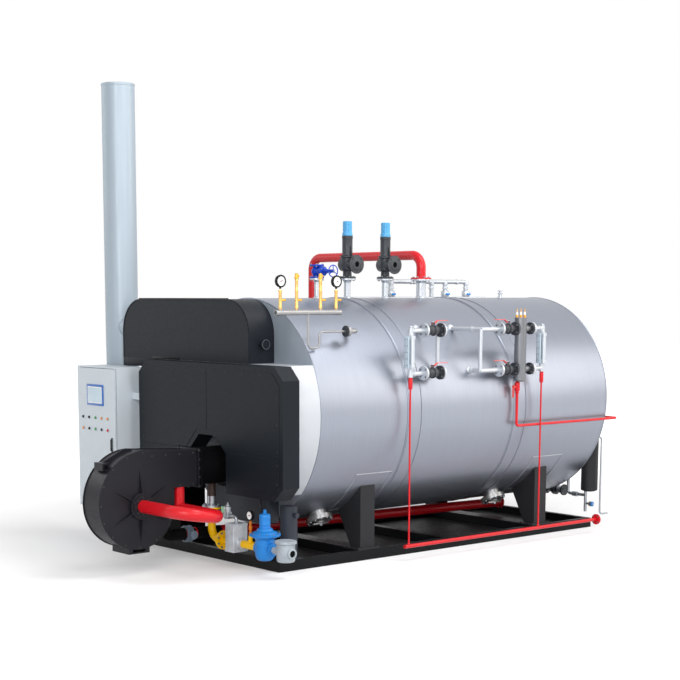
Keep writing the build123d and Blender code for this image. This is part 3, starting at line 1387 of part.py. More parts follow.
with BuildPart() as electrode_column:
    rod((LEVEL_X, COLUMN_Y, COLUMN_Z[0]), (LEVEL_X, COLUMN_Y, COLUMN_Z[1]), COLUMN_R)
    for shift in (-ELECTRODE_SPACING, 0, ELECTRODE_SPACING):
        rod(
            (LEVEL_X, COLUMN_Y + shift, COLUMN_Z[1]),
            (LEVEL_X, COLUMN_Y + shift, COLUMN_Z[1] + ELECTRODE_H),
            ELECTRODE_R,
        )
    for level_z in LEVELS:
        rod((LEVEL_X, COLUMN_NECK_Y, level_z), (LEVEL_X, COLUMN_FLANGE_Y, level_z), VALVE_NECK_R)
        rod(
            (LEVEL_X, COLUMN_FLANGE_Y, level_z),
            (LEVEL_X, COLUMN_FLANGE_Y + COLUMN_FLANGE_T, level_z),
            COLUMN_FLANGE_R,
        )
electrode_column.part.label = "electrode_column"
export_step(electrode_column.part, "parts/electrode_column.step")

# Levers: each turns on its valve's stem
LEVER_NOSE = 22
LEVER_BEND_FROM = 22
LEVER_BEND_TO = 70


def lever(level_z, valve_y, forward):
    """A flat bar that rises from its hub and then runs level, seen along X."""
    base_z = level_z + LEVER_FLOOR
    high_z = level_z + LEVER_RISE
    with BuildSketch(Plane.YZ.offset(LEVEL_X - LEVER_WIDTH / 2)) as side:
        with BuildLine():
            Polyline(
                (valve_y - forward * LEVER_NOSE, base_z),
                (valve_y + forward * LEVER_BEND_FROM, base_z),
                (valve_y + forward * LEVER_BEND_TO, high_z),
                (valve_y + forward * LEVER_LENGTH, high_z),
                (valve_y + forward * LEVER_LENGTH, high_z + LEVER_T),
                (valve_y + forward * (LEVER_BEND_TO - LEVER_T / 2), high_z + LEVER_T),
                (valve_y + forward * (LEVER_BEND_FROM - LEVER_T / 2), base_z + LEVER_T),
                (valve_y - forward * LEVER_NOSE, base_z + LEVER_T),
                close=True,
            )
        make_face()
    extrude(side.sketch, amount=LEVER_WIDTH)
    rod((LEVEL_X, valve_y, base_z), (LEVEL_X, valve_y, base_z + LEVER_HUB_H), LEVER_HUB_R)
    rod(
        (LEVEL_X, valve_y, base_z - LEVER_T),
        (LEVEL_X, valve_y, base_z + LEVER_HUB_H + LEVER_T),
        LEVER_STEM_R + PIN_CLEARANCE,
        mode=Mode.SUBTRACT,
    )


with BuildPart() as lever_upper_front:
    lever(LEVEL_TOP_Z, VALVE_Y[0], 1)
lever_upper_front.part.label = "lever_upper_front"
export_step(lever_upper_front.part, "parts/lever_upper_front.step")

with BuildPart() as lever_lower_front:
    lever(LEVEL_LOW_Z, VALVE_Y[0], 1)
lever_lower_front.part.label = "lever_lower_front"
export_step(lever_lower_front.part, "parts/lever_lower_front.step")

with BuildPart() as lever_upper_rear:
    lever(LEVEL_TOP_Z, VALVE_Y[1], -1)
lever_upper_rear.part.label = "lever_upper_rear"
export_step(lever_upper_rear.part, "parts/lever_upper_rear.step")

with BuildPart() as lever_lower_rear:
    lever(LEVEL_LOW_Z, VALVE_Y[1], -1)
lever_lower_rear.part.label = "lever_lower_rear"
export_step(lever_lower_rear.part, "parts/lever_lower_rear.step")

# The electrode column's drain, with its valve and lever, down to the rear tank
DRAIN_STEM_Y = COLUMN_Y - DRAIN_LEVER_OUT
TANK_Y = SHELL_REAR_Y + TANK_GAP + TANK_R

with BuildPart() as electrode_drain_pipe:
    pipe_run(
        [
            (DRAIN_X, COLUMN_Y, COLUMN_Z[0]),
            (DRAIN_X, COLUMN_Y, DRAIN_RUN_Z),
            (DRAIN_X, TANK_Y, DRAIN_RUN_Z),
            (TANK_X, TANK_Y, DRAIN_RUN_Z),
            (TANK_X, TANK_Y, TANK_Z[1]),
        ],
        DRAIN_R,
        DRAIN_BEND_R,
    )
    with Locations((DRAIN_X, COLUMN_Y, DRAIN_VALVE_Z)):
        Cylinder(DRAIN_VALVE_R, DRAIN_VALVE_LENGTH)
    rod(
        (DRAIN_X, COLUMN_Y, DRAIN_VALVE_Z),
        (DRAIN_X, DRAIN_STEM_Y + LEVER_HUB_H / 2 + DRAIN_BONNET_GAP, DRAIN_VALVE_Z),
        DRAIN_BONNET_R,
    )
    rod(
        (DRAIN_X, COLUMN_Y, DRAIN_VALVE_Z),
        (DRAIN_X, DRAIN_STEM_Y - LEVER_HUB_H / 2 - LEVER_STEM_PROUD, DRAIN_VALVE_Z),
        LEVER_STEM_R,
    )
electrode_drain_pipe.part.label = "electrode_drain_pipe"
export_step(electrode_drain_pipe.part, "parts/electrode_drain_pipe.step")

with BuildPart() as lever_electrode_drain:
    rod(
        (DRAIN_X, DRAIN_STEM_Y - LEVER_HUB_H / 2, DRAIN_VALVE_Z),
        (DRAIN_X, DRAIN_STEM_Y + LEVER_HUB_H / 2, DRAIN_VALVE_Z),
        LEVER_HUB_R,
    )
    block(
        (DRAIN_X - LEVER_WIDTH / 2, DRAIN_STEM_Y - LEVER_HUB_H / 2, DRAIN_VALVE_Z - DRAIN_LEVER_LENGTH),
        (DRAIN_X + LEVER_WIDTH / 2, DRAIN_STEM_Y - LEVER_HUB_H / 2 + LEVER_T, DRAIN_VALVE_Z),
    )
    rod(
        (DRAIN_X, DRAIN_STEM_Y - LEVER_HUB_H, DRAIN_VALVE_Z),
        (DRAIN_X, DRAIN_STEM_Y + LEVER_HUB_H, DRAIN_VALVE_Z),
        LEVER_STEM_R + PIN_CLEARANCE,
        mode=Mode.SUBTRACT,
    )
lever_electrode_drain.part.label = "lever_electrode_drain"
export_step(lever_electrode_drain.part, "parts/lever_electrode_drain.step")

# Drain header along the skid and the two gauge drains that fall into it
with BuildPart() as drain_header:
    rod((LEVEL_X, HEADER_Y[0], HEADER_Z), (LEVEL_X, HEADER_Y[1], HEADER_Z), HEADER_R)
    rod(
        (LEVEL_X, HEADER_Y[1], HEADER_Z),
        (LEVEL_X, HEADER_Y[1] + HEADER_FLANGE_T, HEADER_Z),
        HEADER_FLANGE_R,
    )
drain_header.part.label = "drain_header"
export_step(drain_header.part, "parts/drain_header.step")

SLEEVE_TOP_Z = LEVEL_LOW_Z - TEE_BELOW

with BuildPart() as gauge_drains:
    for gauge_y in GAUGE_GLASS_Y:
        rod((LEVEL_X, gauge_y, HEADER_Z), (LEVEL_X, gauge_y, SLEEVE_TOP_Z), THIN_DRAIN_R)
        rod((LEVEL_X, gauge_y, SLEEVE_TOP_Z - SLEEVE_LENGTH), (LEVEL_X, gauge_y, SLEEVE_TOP_Z), SLEEVE_R)
    rod(
        (LEVEL_X, HEADER_Y[0], HEADER_Z),
        (LEVEL_X, HEADER_Y[1], HEADER_Z),
        HEADER_R,
        mode=Mode.SUBTRACT,
    )
gauge_drains.part.label = "gauge_drains"
export_step(gauge_drains.part, "parts/gauge_drains.step")

# Handholes low on the right side
HAND_OUT = (sin(radians(HANDHOLE_ANGLE)), -cos(radians(HANDHOLE_ANGLE)))


def from_axis(at_y, reach):
    """A point on the handhole's own axis at a distance from the shell's axis."""
    return (HAND_OUT[0] * reach, at_y, SHELL_AXIS_Z + HAND_OUT[1] * reach)


HAND_FLANGE_REACH = SHELL_R + HANDHOLE_NECK
HAND_COVER_REACH = HAND_FLANGE_REACH + HANDHOLE_FLANGE_T + HANDHOLE_COVER_T

with BuildPart() as handholes:
    for hand_y in HANDHOLE_Y:
        rod(from_axis(hand_y, SHELL_R / 2), from_axis(hand_y, HAND_FLANGE_REACH), HANDHOLE_NECK_R)
        rod(from_axis(hand_y, HAND_FLANGE_REACH), from_axis(hand_y, HAND_COVER_REACH), HANDHOLE_FLANGE_R)
    shell_cut()
handholes.part.label = "handholes"
export_step(handholes.part, "parts/handholes.step")

# Rear tank and the small pipes behind the rear plate
TANK_STRAP_HALF = 60

with BuildPart() as rear_tank:
    rod((TANK_X, TANK_Y, TANK_Z[0]), (TANK_X, TANK_Y, TANK_Z[1]), TANK_R)
    for strap_z in TANK_STRAP_Z:
        block(
            (TANK_X - TANK_STRAP_HALF, SHELL_REAR_Y, strap_z),
            (TANK_X + TANK_STRAP_HALF, TANK_Y, strap_z + TANK_STRAP_H),
        )
rear_tank.part.label = "rear_tank"
export_step(rear_tank.part, "parts/rear_tank.step")

REAR_BEND_R = 40
REAR_VALVE_R = 32
REAR_VALVE_X = (REAR_DROP_X + 80, REAR_DROP_X + 160)
LOW_VALVE_X = (REAR_TEE_X + 70, REAR_TEE_X + 110)
VENT_PIPE_OUT = 150

with BuildPart() as rear_pipes:
    pipe_run(
        [
            (VENT_PIPE_X, SHELL_REAR_Y, VENT_PIPE_TOP_Z),
            (VENT_PIPE_X, TANK_Y, VENT_PIPE_TOP_Z),
            (VENT_PIPE_X, TANK_Y, VENT_PIPE_LOW_Z),
            (VENT_PIPE_X, TANK_Y + VENT_PIPE_OUT, VENT_PIPE_LOW_Z),
        ],
        VENT_PIPE_R,
        REAR_BEND_R,
    )
    pipe_run(
        [
            (REAR_DROP_X, SHELL_REAR_Y, REAR_NOZZLE_Z),
            (REAR_DROP_X, TANK_Y, REAR_NOZZLE_Z),
            (REAR_DROP_X, TANK_Y, REAR_RUN_Z),
            (REAR_TEE_X, TANK_Y, REAR_RUN_Z),
        ],
        REAR_PIPE_R,
        REAR_BEND_R,
    )
    rod((REAR_TEE_X, TANK_Y, REAR_LOW_Z), (REAR_TEE_X, TANK_Y, TANK_Z[0]), REAR_PIPE_R)
    rod((REAR_VALVE_X[0], TANK_Y, REAR_RUN_Z), (REAR_VALVE_X[1], TANK_Y, REAR_RUN_Z), REAR_VALVE_R)
    low_z = (REAR_RUN_Z + REAR_LOW_Z) / 2
    rod((REAR_TEE_X, TANK_Y, low_z), (REAR_OUT_X, TANK_Y, low_z), REAR_OUT_R)
    rod((LOW_VALVE_X[0], TANK_Y, low_z), (LOW_VALVE_X[1], TANK_Y, low_z), REAR_VALVE_R)
rear_pipes.part.label = "rear_pipes"
export_step(rear_pipes.part, "parts/rear_pipes.step")

BLOWDOWN_START_X = 100
BLOWDOWN_BEND_R = 60
BLOWDOWN_BODY_R = 46

with BuildPart() as blowdown_valves:
    pipe_run(
        [
            (BLOWDOWN_START_X, SHELL_REAR_Y, BLOWDOWN_Z),
            (BLOWDOWN_START_X, TANK_Y, BLOWDOWN_Z),
            (BLOWDOWN_X[1], TANK_Y, BLOWDOWN_Z),
        ],
        BLOWDOWN_R,
        BLOWDOWN_BEND_R,
    )
    pitch = (BLOWDOWN_X[1] - BLOWDOWN_X[0]) / 2
    for index in range(2):
        near_x = BLOWDOWN_X[0] + index * pitch
        for flange_x in (near_x, near_x + pitch - HEADER_FLANGE_T):
            rod(
                (flange_x, TANK_Y, BLOWDOWN_Z),
                (flange_x + HEADER_FLANGE_T, TANK_Y, BLOWDOWN_Z),
                BLOWDOWN_FLANGE_R,
            )
        rod(
            (near_x + pitch / 4, TANK_Y, BLOWDOWN_Z),
            (near_x + pitch * 3 / 4, TANK_Y, BLOWDOWN_Z),
            BLOWDOWN_BODY_R,
        )
blowdown_valves.part.label = "blowdown_valves"
export_step(blowdown_valves.part, "parts/blowdown_valves.step")
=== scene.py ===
"""Finishes and fine detail of the steam boiler, in metres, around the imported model."""

import math

import bmesh
import bpy
from mathutils import Matrix, Vector


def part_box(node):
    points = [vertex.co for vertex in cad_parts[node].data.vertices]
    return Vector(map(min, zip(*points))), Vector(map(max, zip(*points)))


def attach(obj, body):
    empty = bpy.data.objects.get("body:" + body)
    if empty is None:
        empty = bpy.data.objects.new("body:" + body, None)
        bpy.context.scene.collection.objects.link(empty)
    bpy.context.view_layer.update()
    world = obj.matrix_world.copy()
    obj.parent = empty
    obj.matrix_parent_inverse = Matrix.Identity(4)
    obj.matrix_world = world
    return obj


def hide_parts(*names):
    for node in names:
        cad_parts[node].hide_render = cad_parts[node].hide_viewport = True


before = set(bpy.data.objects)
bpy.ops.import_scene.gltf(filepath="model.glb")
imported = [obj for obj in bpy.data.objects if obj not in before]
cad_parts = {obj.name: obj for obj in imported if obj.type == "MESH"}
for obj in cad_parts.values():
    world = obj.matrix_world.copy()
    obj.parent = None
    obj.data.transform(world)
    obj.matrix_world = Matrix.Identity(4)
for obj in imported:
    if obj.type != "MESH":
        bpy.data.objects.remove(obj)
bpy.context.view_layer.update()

X_AXIS = Vector((1, 0, 0))
Y_AXIS = Vector((0, 1, 0))
Z_AXIS = Vector((0, 0, 1))
SIDES = (-1, 1)
SHARP_CUT = 0.001
FINE_CUT = 0.002
SOFT_CUT = 0.003
TINY = 1e-6


# Driving places, read from the frame
def middle(node):
    low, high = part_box(node)
    return (low + high) / 2


SHELL_LOW, SHELL_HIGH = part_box("shell")
HOOD_LOW, HOOD_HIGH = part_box("front_hood")
CLADDING_PROUD = 0.004
AXIS_Z = middle("front_plate").z
SHELL_R = (SHELL_HIGH.x - SHELL_LOW.x) / 2 - CLADDING_PROUD
CABINET_FRONT_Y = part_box("cabinet_body")[0].y
FLANGE_T = 0.018

# Mesh building
NEARLY_STRAIGHT = 2.9
CORNER_SHARE = 0.45
BEND_SHARE = 0.49
BEND_STEPS = 8
UPRIGHT = 0.9
SMOOTH_ANGLE = math.radians(32)
WASHER_SPREAD = 1.25
WASHER_SHARE = 0.18
WASHER_CUT = 0.0004
HEAD_CUT_SHARE = 0.14


def around(count, shift=0.0):
    """Angles spaced evenly round a circle, begun a share of a step late."""
    return [2 * math.pi * (index + shift) / count for index in range(count)]


def square_to(direction):
    """A unit vector along a direction and two unit vectors square to it."""
    along = Vector(direction).normalized()
    guide = X_AXIS if abs(along.z) > UPRIGHT else Z_AXIS
    side = (guide - along * guide.dot(along)).normalized()
    return along, side, along.cross(side)


def cylinders(*runs):
    """A turned profile of plain cylinders in a row, each given by its length and radius."""
    profile, place = [], 0.0
    for length, radius in runs:
        profile += [(place, radius), (place + length, radius)]
        place += length
    return profile


def soften(profile, cut):
    """A turned profile with each of its corners cut by a small chamfer."""
    points = [Vector(point) for point in profile]
    softened = [points[0]]
    for before, here, after in zip(points, points[1:], points[2:]):
        back, on = before - here, after - here
        if back.length < TINY or on.length < TINY or back.angle(on) > NEARLY_STRAIGHT:
            softened.append(here)
            continue
        reach = min(cut, CORNER_SHARE * back.length, CORNER_SHARE * on.length)
        softened.append(here + back.normalized() * reach)
        softened.append(here + on.normalized() * reach)
    return softened + [points[-1]]


def bent_route(points, bend):
    """Straight runs through points, with each corner rounded to an arc."""
    points = [Vector(point) for point in points]
    route = [points[0]]
    for before, here, after in zip(points, points[1:], points[2:]):
        back, on = (before - here).normalized(), (after - here).normalized()
        half = back.angle(on) / 2
        longest = BEND_SHARE * min((before - here).length, (after - here).length)
        reach = min(bend / math.tan(half), longest)
        centre = here + (back + on).normalized() * reach / math.cos(half)
        first, last = here + back * reach - centre, here + on * reach - centre
        radius = first.length
        for step in range(BEND_STEPS + 1):
            share = step / BEND_STEPS
            route.append(centre + first.normalized().slerp(last.normalized(), share) * radius)
    return route + [points[-1]]


def round_edges(part, reach, segments):
    bmesh.ops.bevel(part, geom=part.edges, offset=reach, segments=segments, affect="EDGES", profile=0.5)


class Piece:
    """The mesh of one visible piece, gathered from turned forms, blocks, plates and tubes."""

    def __init__(self):
        self.bm = bmesh.new()

    def circle(self, centre, side, up, radius, sides):
        return [
            self.bm.verts.new(centre + (side * math.cos(angle) + up * math.sin(angle)) * radius)
            for angle in around(sides)
        ]

    def skin(self, rings, closed=False):
        """Join rings of corners by faces, and cap the ends of an open row of rings."""
        pairs = list(zip(rings, rings[1:]))
        if closed:
            pairs.append((rings[-1], rings[0]))
        for low, high in pairs:
            sides = max(len(low), len(high))
            for index in range(sides):
                following = (index + 1) % sides
                corners = [
                    low[index % len(low)],
                    low[following % len(low)],
                    high[following % len(high)],
                    high[index % len(high)],
                ]
                self.bm.faces.new(list(dict.fromkeys(corners)))
        if not closed:
            for ring in (rings[0], rings[-1]):
                if len(ring) > 2:
                    self.bm.faces.new(ring)

    def lathe(self, start, direction, profile, sides=40, closed=False):
        """A turned form: its profile holds pairs of distance along the axis and radius."""
        along, side, up = square_to(direction)
        rings = []
        for distance, radius in profile:
            centre = Vector(start) + along * distance
            if radius < TINY:
                rings.append([self.bm.verts.new(centre)])
            else:
                rings.append(self.circle(centre, side, up, radius, sides))
        self.skin(rings, closed)

    def turned(self, start, direction, profile, sides=40, cut=FINE_CUT):
        """A turned form with softened corners, closed on its axis at both ends."""
        ends = [(profile[0][0], 0.0)] + list(profile) + [(profile[-1][0], 0.0)]
        self.lathe(start, direction, soften(ends, cut), sides)

    def disc(self, start, direction, radius, thickness, sides=48, cut=FINE_CUT):
        """A flat disc that starts at a point and is thick along a direction."""
        self.turned(start, direction, cylinders((thickness, radius)), sides, cut)

    def nut(self, start, direction, radius, height, sides=6, cut=FINE_CUT):
        self.disc(start, direction, radius, height, sides, cut)

    def rod(self, start, end, radius, sides=32, cut=FINE_CUT):
        run = Vector(end) - Vector(start)
        self.disc(start, run, radius, run.length, sides, cut)

    def tube(self, points, radius, bend=0.0, sides=20, closed=False):
        """A round tube along straight runs joined by bends."""
        route = bent_route(points, bend) if bend else [Vector(point) for point in points]
        count = len(route)
        rings, side = [], None
        for index, point in enumerate(route):
            before = route[index - 1] if index or closed else route[0]
            after = route[(index + 1) % count] if index < count - 1 or closed else route[-1]
            along = (after - before).normalized()
            if side is None:
                side = along.orthogonal().normalized()
            side = (side - along * side.dot(along)).normalized()
            rings.append(self.circle(point, side, along.cross(side), radius, sides))
        self.skin(rings, closed)

    def take(self, other):
        scrap = bpy.data.meshes.new("scrap")
        other.to_mesh(scrap)
        other.free()
        self.bm.from_mesh(scrap)
        bpy.data.meshes.remove(scrap)

    def block(self, low, high, cut=FINE_CUT, segments=2, place=None):
        """A block between two corners with rounded edges."""
        low, high = Vector(low), Vector(high)
        size = high - low
        spread = Matrix.Translation((low + high) / 2) @ Matrix.Diagonal(size.to_4d())
        part = bmesh.new()
        bmesh.ops.create_cube(part, size=1.0)
        bmesh.ops.transform(part, matrix=spread, verts=part.verts)
        round_edges(part, min(cut, CORNER_SHARE * min(size)), segments)
        if place:
            bmesh.ops.transform(part, matrix=place, verts=part.verts)
        self.take(part)

    def plate(self, outline, origin, across, up, thickness, cut=0.0):
        """A flat plate with a drawn outline, thick along across x up."""
        across, up = Vector(across).normalized(), Vector(up).normalized()
        normal = across.cross(up)
        part = bmesh.new()
        base = [part.verts.new(Vector(origin) + across * u + up * v) for u, v in outline]
        face = part.faces.new(base)
        raised = bmesh.ops.extrude_face_region(part, geom=[face])["geom"]
        moved = [item for item in raised if isinstance(item, bmesh.types.BMVert)]
        bmesh.ops.translate(part, vec=normal * thickness, verts=moved)
        bmesh.ops.recalc_face_normals(part, faces=part.faces)
        if cut:
            round_edges(part, cut, 1)
        self.take(part)

    def hexagon(self, centre, direction, radius, height):
        """A hexagon head or nut on its washer, standing on a surface."""
        self.disc(centre, direction, radius * WASHER_SPREAD, height * WASHER_SHARE, 16, WASHER_CUT)
        self.nut(centre, direction, radius, height, cut=radius * HEAD_CUT_SHARE)

    def bolt_ring(self, centre, direction, ring_r, count, radius, height, straddle=False):
        """Hexagon heads round a circle; four heads, or a straddling ring, start half a step late."""
        along, side, up = square_to(direction)
        for angle in around(count, 0.5 if straddle or count == 4 else 0.0):
            spot = Vector(centre) + (side * math.cos(angle) + up * math.sin(angle)) * ring_r
            self.hexagon(spot, along, radius, height)

    def bolted_pair(self, centre, direction, half, ring_r, count, size):
        """Heads on both outer faces of a flange joint about its middle."""
        for way in (1, -1):
            along = Vector(direction).normalized() * way
            self.bolt_ring(Vector(centre) + along * half, along, ring_r, count, size, size, True)

    def done(self, name, slot, material, nodes=(), body="boiler"):
        """Turn the gathered mesh into an object that rides on a body."""
        bmesh.ops.recalc_face_normals(self.bm, faces=self.bm.faces)
        mesh = bpy.data.meshes.new(name)
        self.bm.to_mesh(mesh)
        self.bm.free()
        for polygon in mesh.polygons:
            polygon.use_smooth = True
        mesh.set_sharp_from_angle(angle=SMOOTH_ANGLE)
        mesh.materials.append(material)
        piece = bpy.data.objects.new(name, mesh)
        bpy.context.scene.collection.objects.link(piece)
        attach(piece, body)
        if nodes:
            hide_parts(*nodes)


def pieces(count):
    return [Piece() for _ in range(count)]


# Materials
NOISE_SPAN = (0.3, 0.7)
EVERY_WAY = (1, 1, 1)
COAT_ROUGHNESS = 0.12


def linear(text):
    """A colour written as six hexadecimal digits, as linear values."""
    parts = [int(text[index : index + 2], 16) / 255 for index in (0, 2, 4)]
    curved = [part / 12.92 if part < 0.04045 else ((part + 0.055) / 1.055) ** 2.4 for part in parts]
    return (*curved, 1)


def shaded(rgba, factor):
    return tuple(min(part * factor, 1) for part in rgba[:3]) + (1,)


class Finish:
    """A material whose colour, roughness and relief come from noise in object space."""

    def __init__(self, name, colour, metallic, roughness, spread, coat=0.0, specular=0.5):
        self.material = bpy.data.materials.new(name)
        self.material.use_nodes = True
        self.tree = self.material.node_tree
        self.inputs = self.tree.nodes["Principled BSDF"].inputs
        self.inputs["Metallic"].default_value = metallic
        self.inputs["Coat Weight"].default_value = coat
        self.inputs["Coat Roughness"].default_value = COAT_ROUGHNESS
        self.inputs["Specular IOR Level"].default_value = specular
        self.place = self.tree.nodes.new("ShaderNodeTexCoord")
        self.colour = linear(colour)
        self.material.diffuse_color = self.colour
        self.span = (roughness * (1 - spread), roughness * (1 + spread))

    def added(self, kind, **values):
        """A new node with values on its inputs, whose names are written with _ for a space."""
        node = self.tree.nodes.new("ShaderNode" + kind)
        for name, value in values.items():
            node.inputs[name.replace("_", " ")].default_value = value
        return node

    def noise(self, scale, detail, stretch):
        mapping = self.added("Mapping", Scale=stretch)
        texture = self.added("TexNoise", Scale=scale, Detail=detail)
        self.tree.links.new(self.place.outputs["Object"], mapping.inputs["Vector"])
        self.tree.links.new(mapping.outputs["Vector"], texture.inputs["Vector"])
        return texture.outputs["Fac"]

    def between(self, value, low, high):
        from_low, from_high = NOISE_SPAN
        spread = self.added("MapRange", From_Min=from_low, From_Max=from_high, To_Min=low, To_Max=high)
        self.tree.links.new(value, spread.inputs["Value"])
        return spread.outputs["Result"]

    def mottled(self, scale, stretch, mottle):
        """Colour that wanders a little about its middle."""
        mix = self.tree.nodes.new("ShaderNodeMix")
        mix.data_type = "RGBA"
        mix.inputs["A"].default_value, mix.inputs["B"].default_value = (
            shaded(self.colour, factor) for factor in mottle
        )
        self.tree.links.new(self.between(self.noise(scale, 4.0, stretch), 0, 1), mix.inputs["Factor"])
        self.tree.links.new(mix.outputs["Result"], self.inputs["Base Color"])
        return self

    def uneven(self, scale, stretch=EVERY_WAY):
        """Roughness that wanders a little about its middle."""
        value = self.between(self.noise(scale, 3.0, stretch), *self.span)
        self.tree.links.new(value, self.inputs["Roughness"])
        return self

    def relief(self, scale, strength, distance, stretch=EVERY_WAY):
        """Fine bumps of the paint, casting or brushing."""
        bump = self.added("Bump", Strength=strength, Distance=distance)
        self.tree.links.new(self.noise(scale, 2.0, stretch), bump.inputs["Height"])
        self.tree.links.new(bump.outputs["Normal"], self.inputs["Normal"])
        return self.material


def paint(name, colour, roughness, specular=0.5, mottle=(0.96, 1.03), relief=0.08, coat=0.0):
    finish = Finish(name, colour, 0.0, roughness, 0.16, coat, specular)
    return finish.mottled(1.6, EVERY_WAY, mottle).uneven(30.0).relief(450.0, relief, 0.0004)


def cast(name, colour, roughness, metallic, relief):
    finish = Finish(name, colour, metallic, roughness, 0.15)
    return finish.mottled(14.0, EVERY_WAY, (0.85, 1.15)).uneven(60.0).relief(420.0, relief, 0.0008)


def brushed(name, colour, roughness, metallic, stretch, mottle, strength):
    finish = Finish(name, colour, metallic, roughness, 0.2)
    finish.mottled(2.0, stretch, mottle).uneven(6.0, stretch)
    return finish.relief(12.0, strength, 0.0006, stretch)


EVEN = (0.98, 1.02)
GLOSSY_EVEN = (0.985, 1.015)
BLUE_MOTTLE = (0.97, 1.03)
CLADDING = brushed("cladding", "9196a2", 0.38, 0.88, (0.5, 40, 0.5), (0.97, 1.02), 0.03)
CASING_STEEL = brushed("casing_steel", "bcc0c6", 0.45, 0.3, (4, 1, 1), EVEN, 0.03)
END_PLATE = brushed("end_plates", "9aa4af", 0.45, 0.3, (8, 1, 1), (0.96, 1.03), 0.03)
# Slate paint: the upright pipe's own dark grey, and painted shade on the lower casing under the hood.
SLATE_AND_SHADE = paint("slate_paint", "33373f", 0.42, 0.2)
CHARCOAL = paint("black_paint", "151a20", 0.42, 0.14)
BURNER_BLACK = paint("burner_black", "1c1c21", 0.4, 0.2)
FLUE_BLACK = paint("flue_box_paint", "1d2127", 0.45, 0.15)
# Black that stands in for shade: open bores and holes, the sleeves where the red pipe lies in shadow, and
# the dark hollow under the hood.
SHADE_BLACK = paint("painted_shade_black", "0a0b0c", 0.6, 0.05, relief=0.05)
SKID_BLACK = paint("skid_paint", "0c0e10", 0.45, 0.15, relief=0.1)
DECK_BLACK = paint("deck_paint", "2c2c2d", 0.55, 0.1, relief=0.1)
LEG_GREY = paint("leg_paint", "27282b", 0.5, 0.2, relief=0.1)
CHIMNEY_BLUE = brushed("chimney_paint", "a5b2bd", 0.45, 0.2, (14, 14, 0.4), EVEN, 0.03)
CABINET_PALE = paint("cabinet_paint", "d6dfe6", 0.45, relief=0.03)
RED = paint("red_paint", "cf1420", 0.32, 0.35, GLOSSY_EVEN, 0.0)
LEVER_RED = paint("lever_red", "e8524a", 0.35, 0.5, GLOSSY_EVEN, 0.0)
YELLOW = paint("yellow_paint", "ffc800", 0.36, 0.3, GLOSSY_EVEN, 0.0)
ORANGE = paint("orange_paint", "d8791a", 0.35, 0.3)
BLUE = paint("blue_paint", "2181d2", 0.36, 0.35, BLUE_MOTTLE, 0.03)
VALVE_BLUE = paint("valve_blue_paint", "0c3cb4", 0.36, 0.3, BLUE_MOTTLE, 0.03)
CAP_BLUE = paint("cap_blue_paint", "50a4d8", 0.33, 0.5, EVEN, 0.0)
WHITE_METAL = brushed("white_metal", "bfc4ca", 0.36, 0.5, (3, 3, 3), EVEN, 0.02)
SILVER = brushed("silver", "a9adb3", 0.34, 0.8, (6, 6, 6), (0.96, 1.03), 0.03)
PIPE_STEEL = brushed("pipe_steel", "939394", 0.34, 0.8, (6, 6, 6), (0.96, 1.03), 0.03)
STEEL_BOLT = brushed("bolt_steel", "7f848a", 0.36, 0.8, (9, 9, 9), (0.9, 1.08), 0.02)
DARK_BOLT = brushed("dark_bolt", "1d1f22", 0.4, 0.3, (9, 9, 9), (0.9, 1.1), 0.02)
COLUMN_STEEL = brushed("column_steel", "77797d", 0.38, 0.8, (9, 9, 0.5), (0.95, 1.04), 0.03)
CASTING = cast("silver_casting", "c6ccd3", 0.42, 0.3, 0.15)
VALVE_GREY = cast("valve_grey", "35383d", 0.48, 0.3, 0.2)
DAMPER_GREY = cast("damper_grey", "66788a", 0.48, 0.0, 0.2)
FILTER_GREY = cast("filter_grey", "a0a8b0", 0.45, 0.0, 0.15)
BRASS = brushed("brass", "e3a540", 0.34, 0.6, (9, 9, 9), (0.95, 1.05), 0.02)
PALE_BRASS = brushed("pale_brass", "dcae66", 0.3, 0.85, (9, 9, 9), (0.96, 1.04), 0.02)
# Dark brown that stands in for the shade on the upper gas riser inside the hood's recess.
SHADE_BROWN = paint("painted_shade_brown", "3d2d28", 0.5, 0.3)
BLACK_PLASTIC = paint("gauge_black", "0d0e10", 0.35, 0.15)
WHITE_DIAL = paint("white_dial", "f4f5f4", 0.4, 0.5, (0.98, 1.0), 0.0)
SCREEN = paint("screen_face", "cfe3f0", 0.2, 0.5, BLUE_MOTTLE, 0.0)
SCREEN_BLUE = paint("screen_bezel", "1c66bb", 0.3, coat=0.3)
GREEN = paint("green_button", "1f9a4c", 0.3, coat=0.4)
PALE_GREEN = paint("pale_green", "8fbf9a", 0.35, coat=0.2)
BUTTON_ORANGE = paint("orange_button", "e08a1c", 0.3, coat=0.4)
GAUGE_PLATE = paint("gauge_plate", "b7c6d1", 0.4)
GLASS_DARK = paint("sight_glass", "1b2a33", 0.08, 0.5, (0.9, 1.1), 0.0, 0.8)

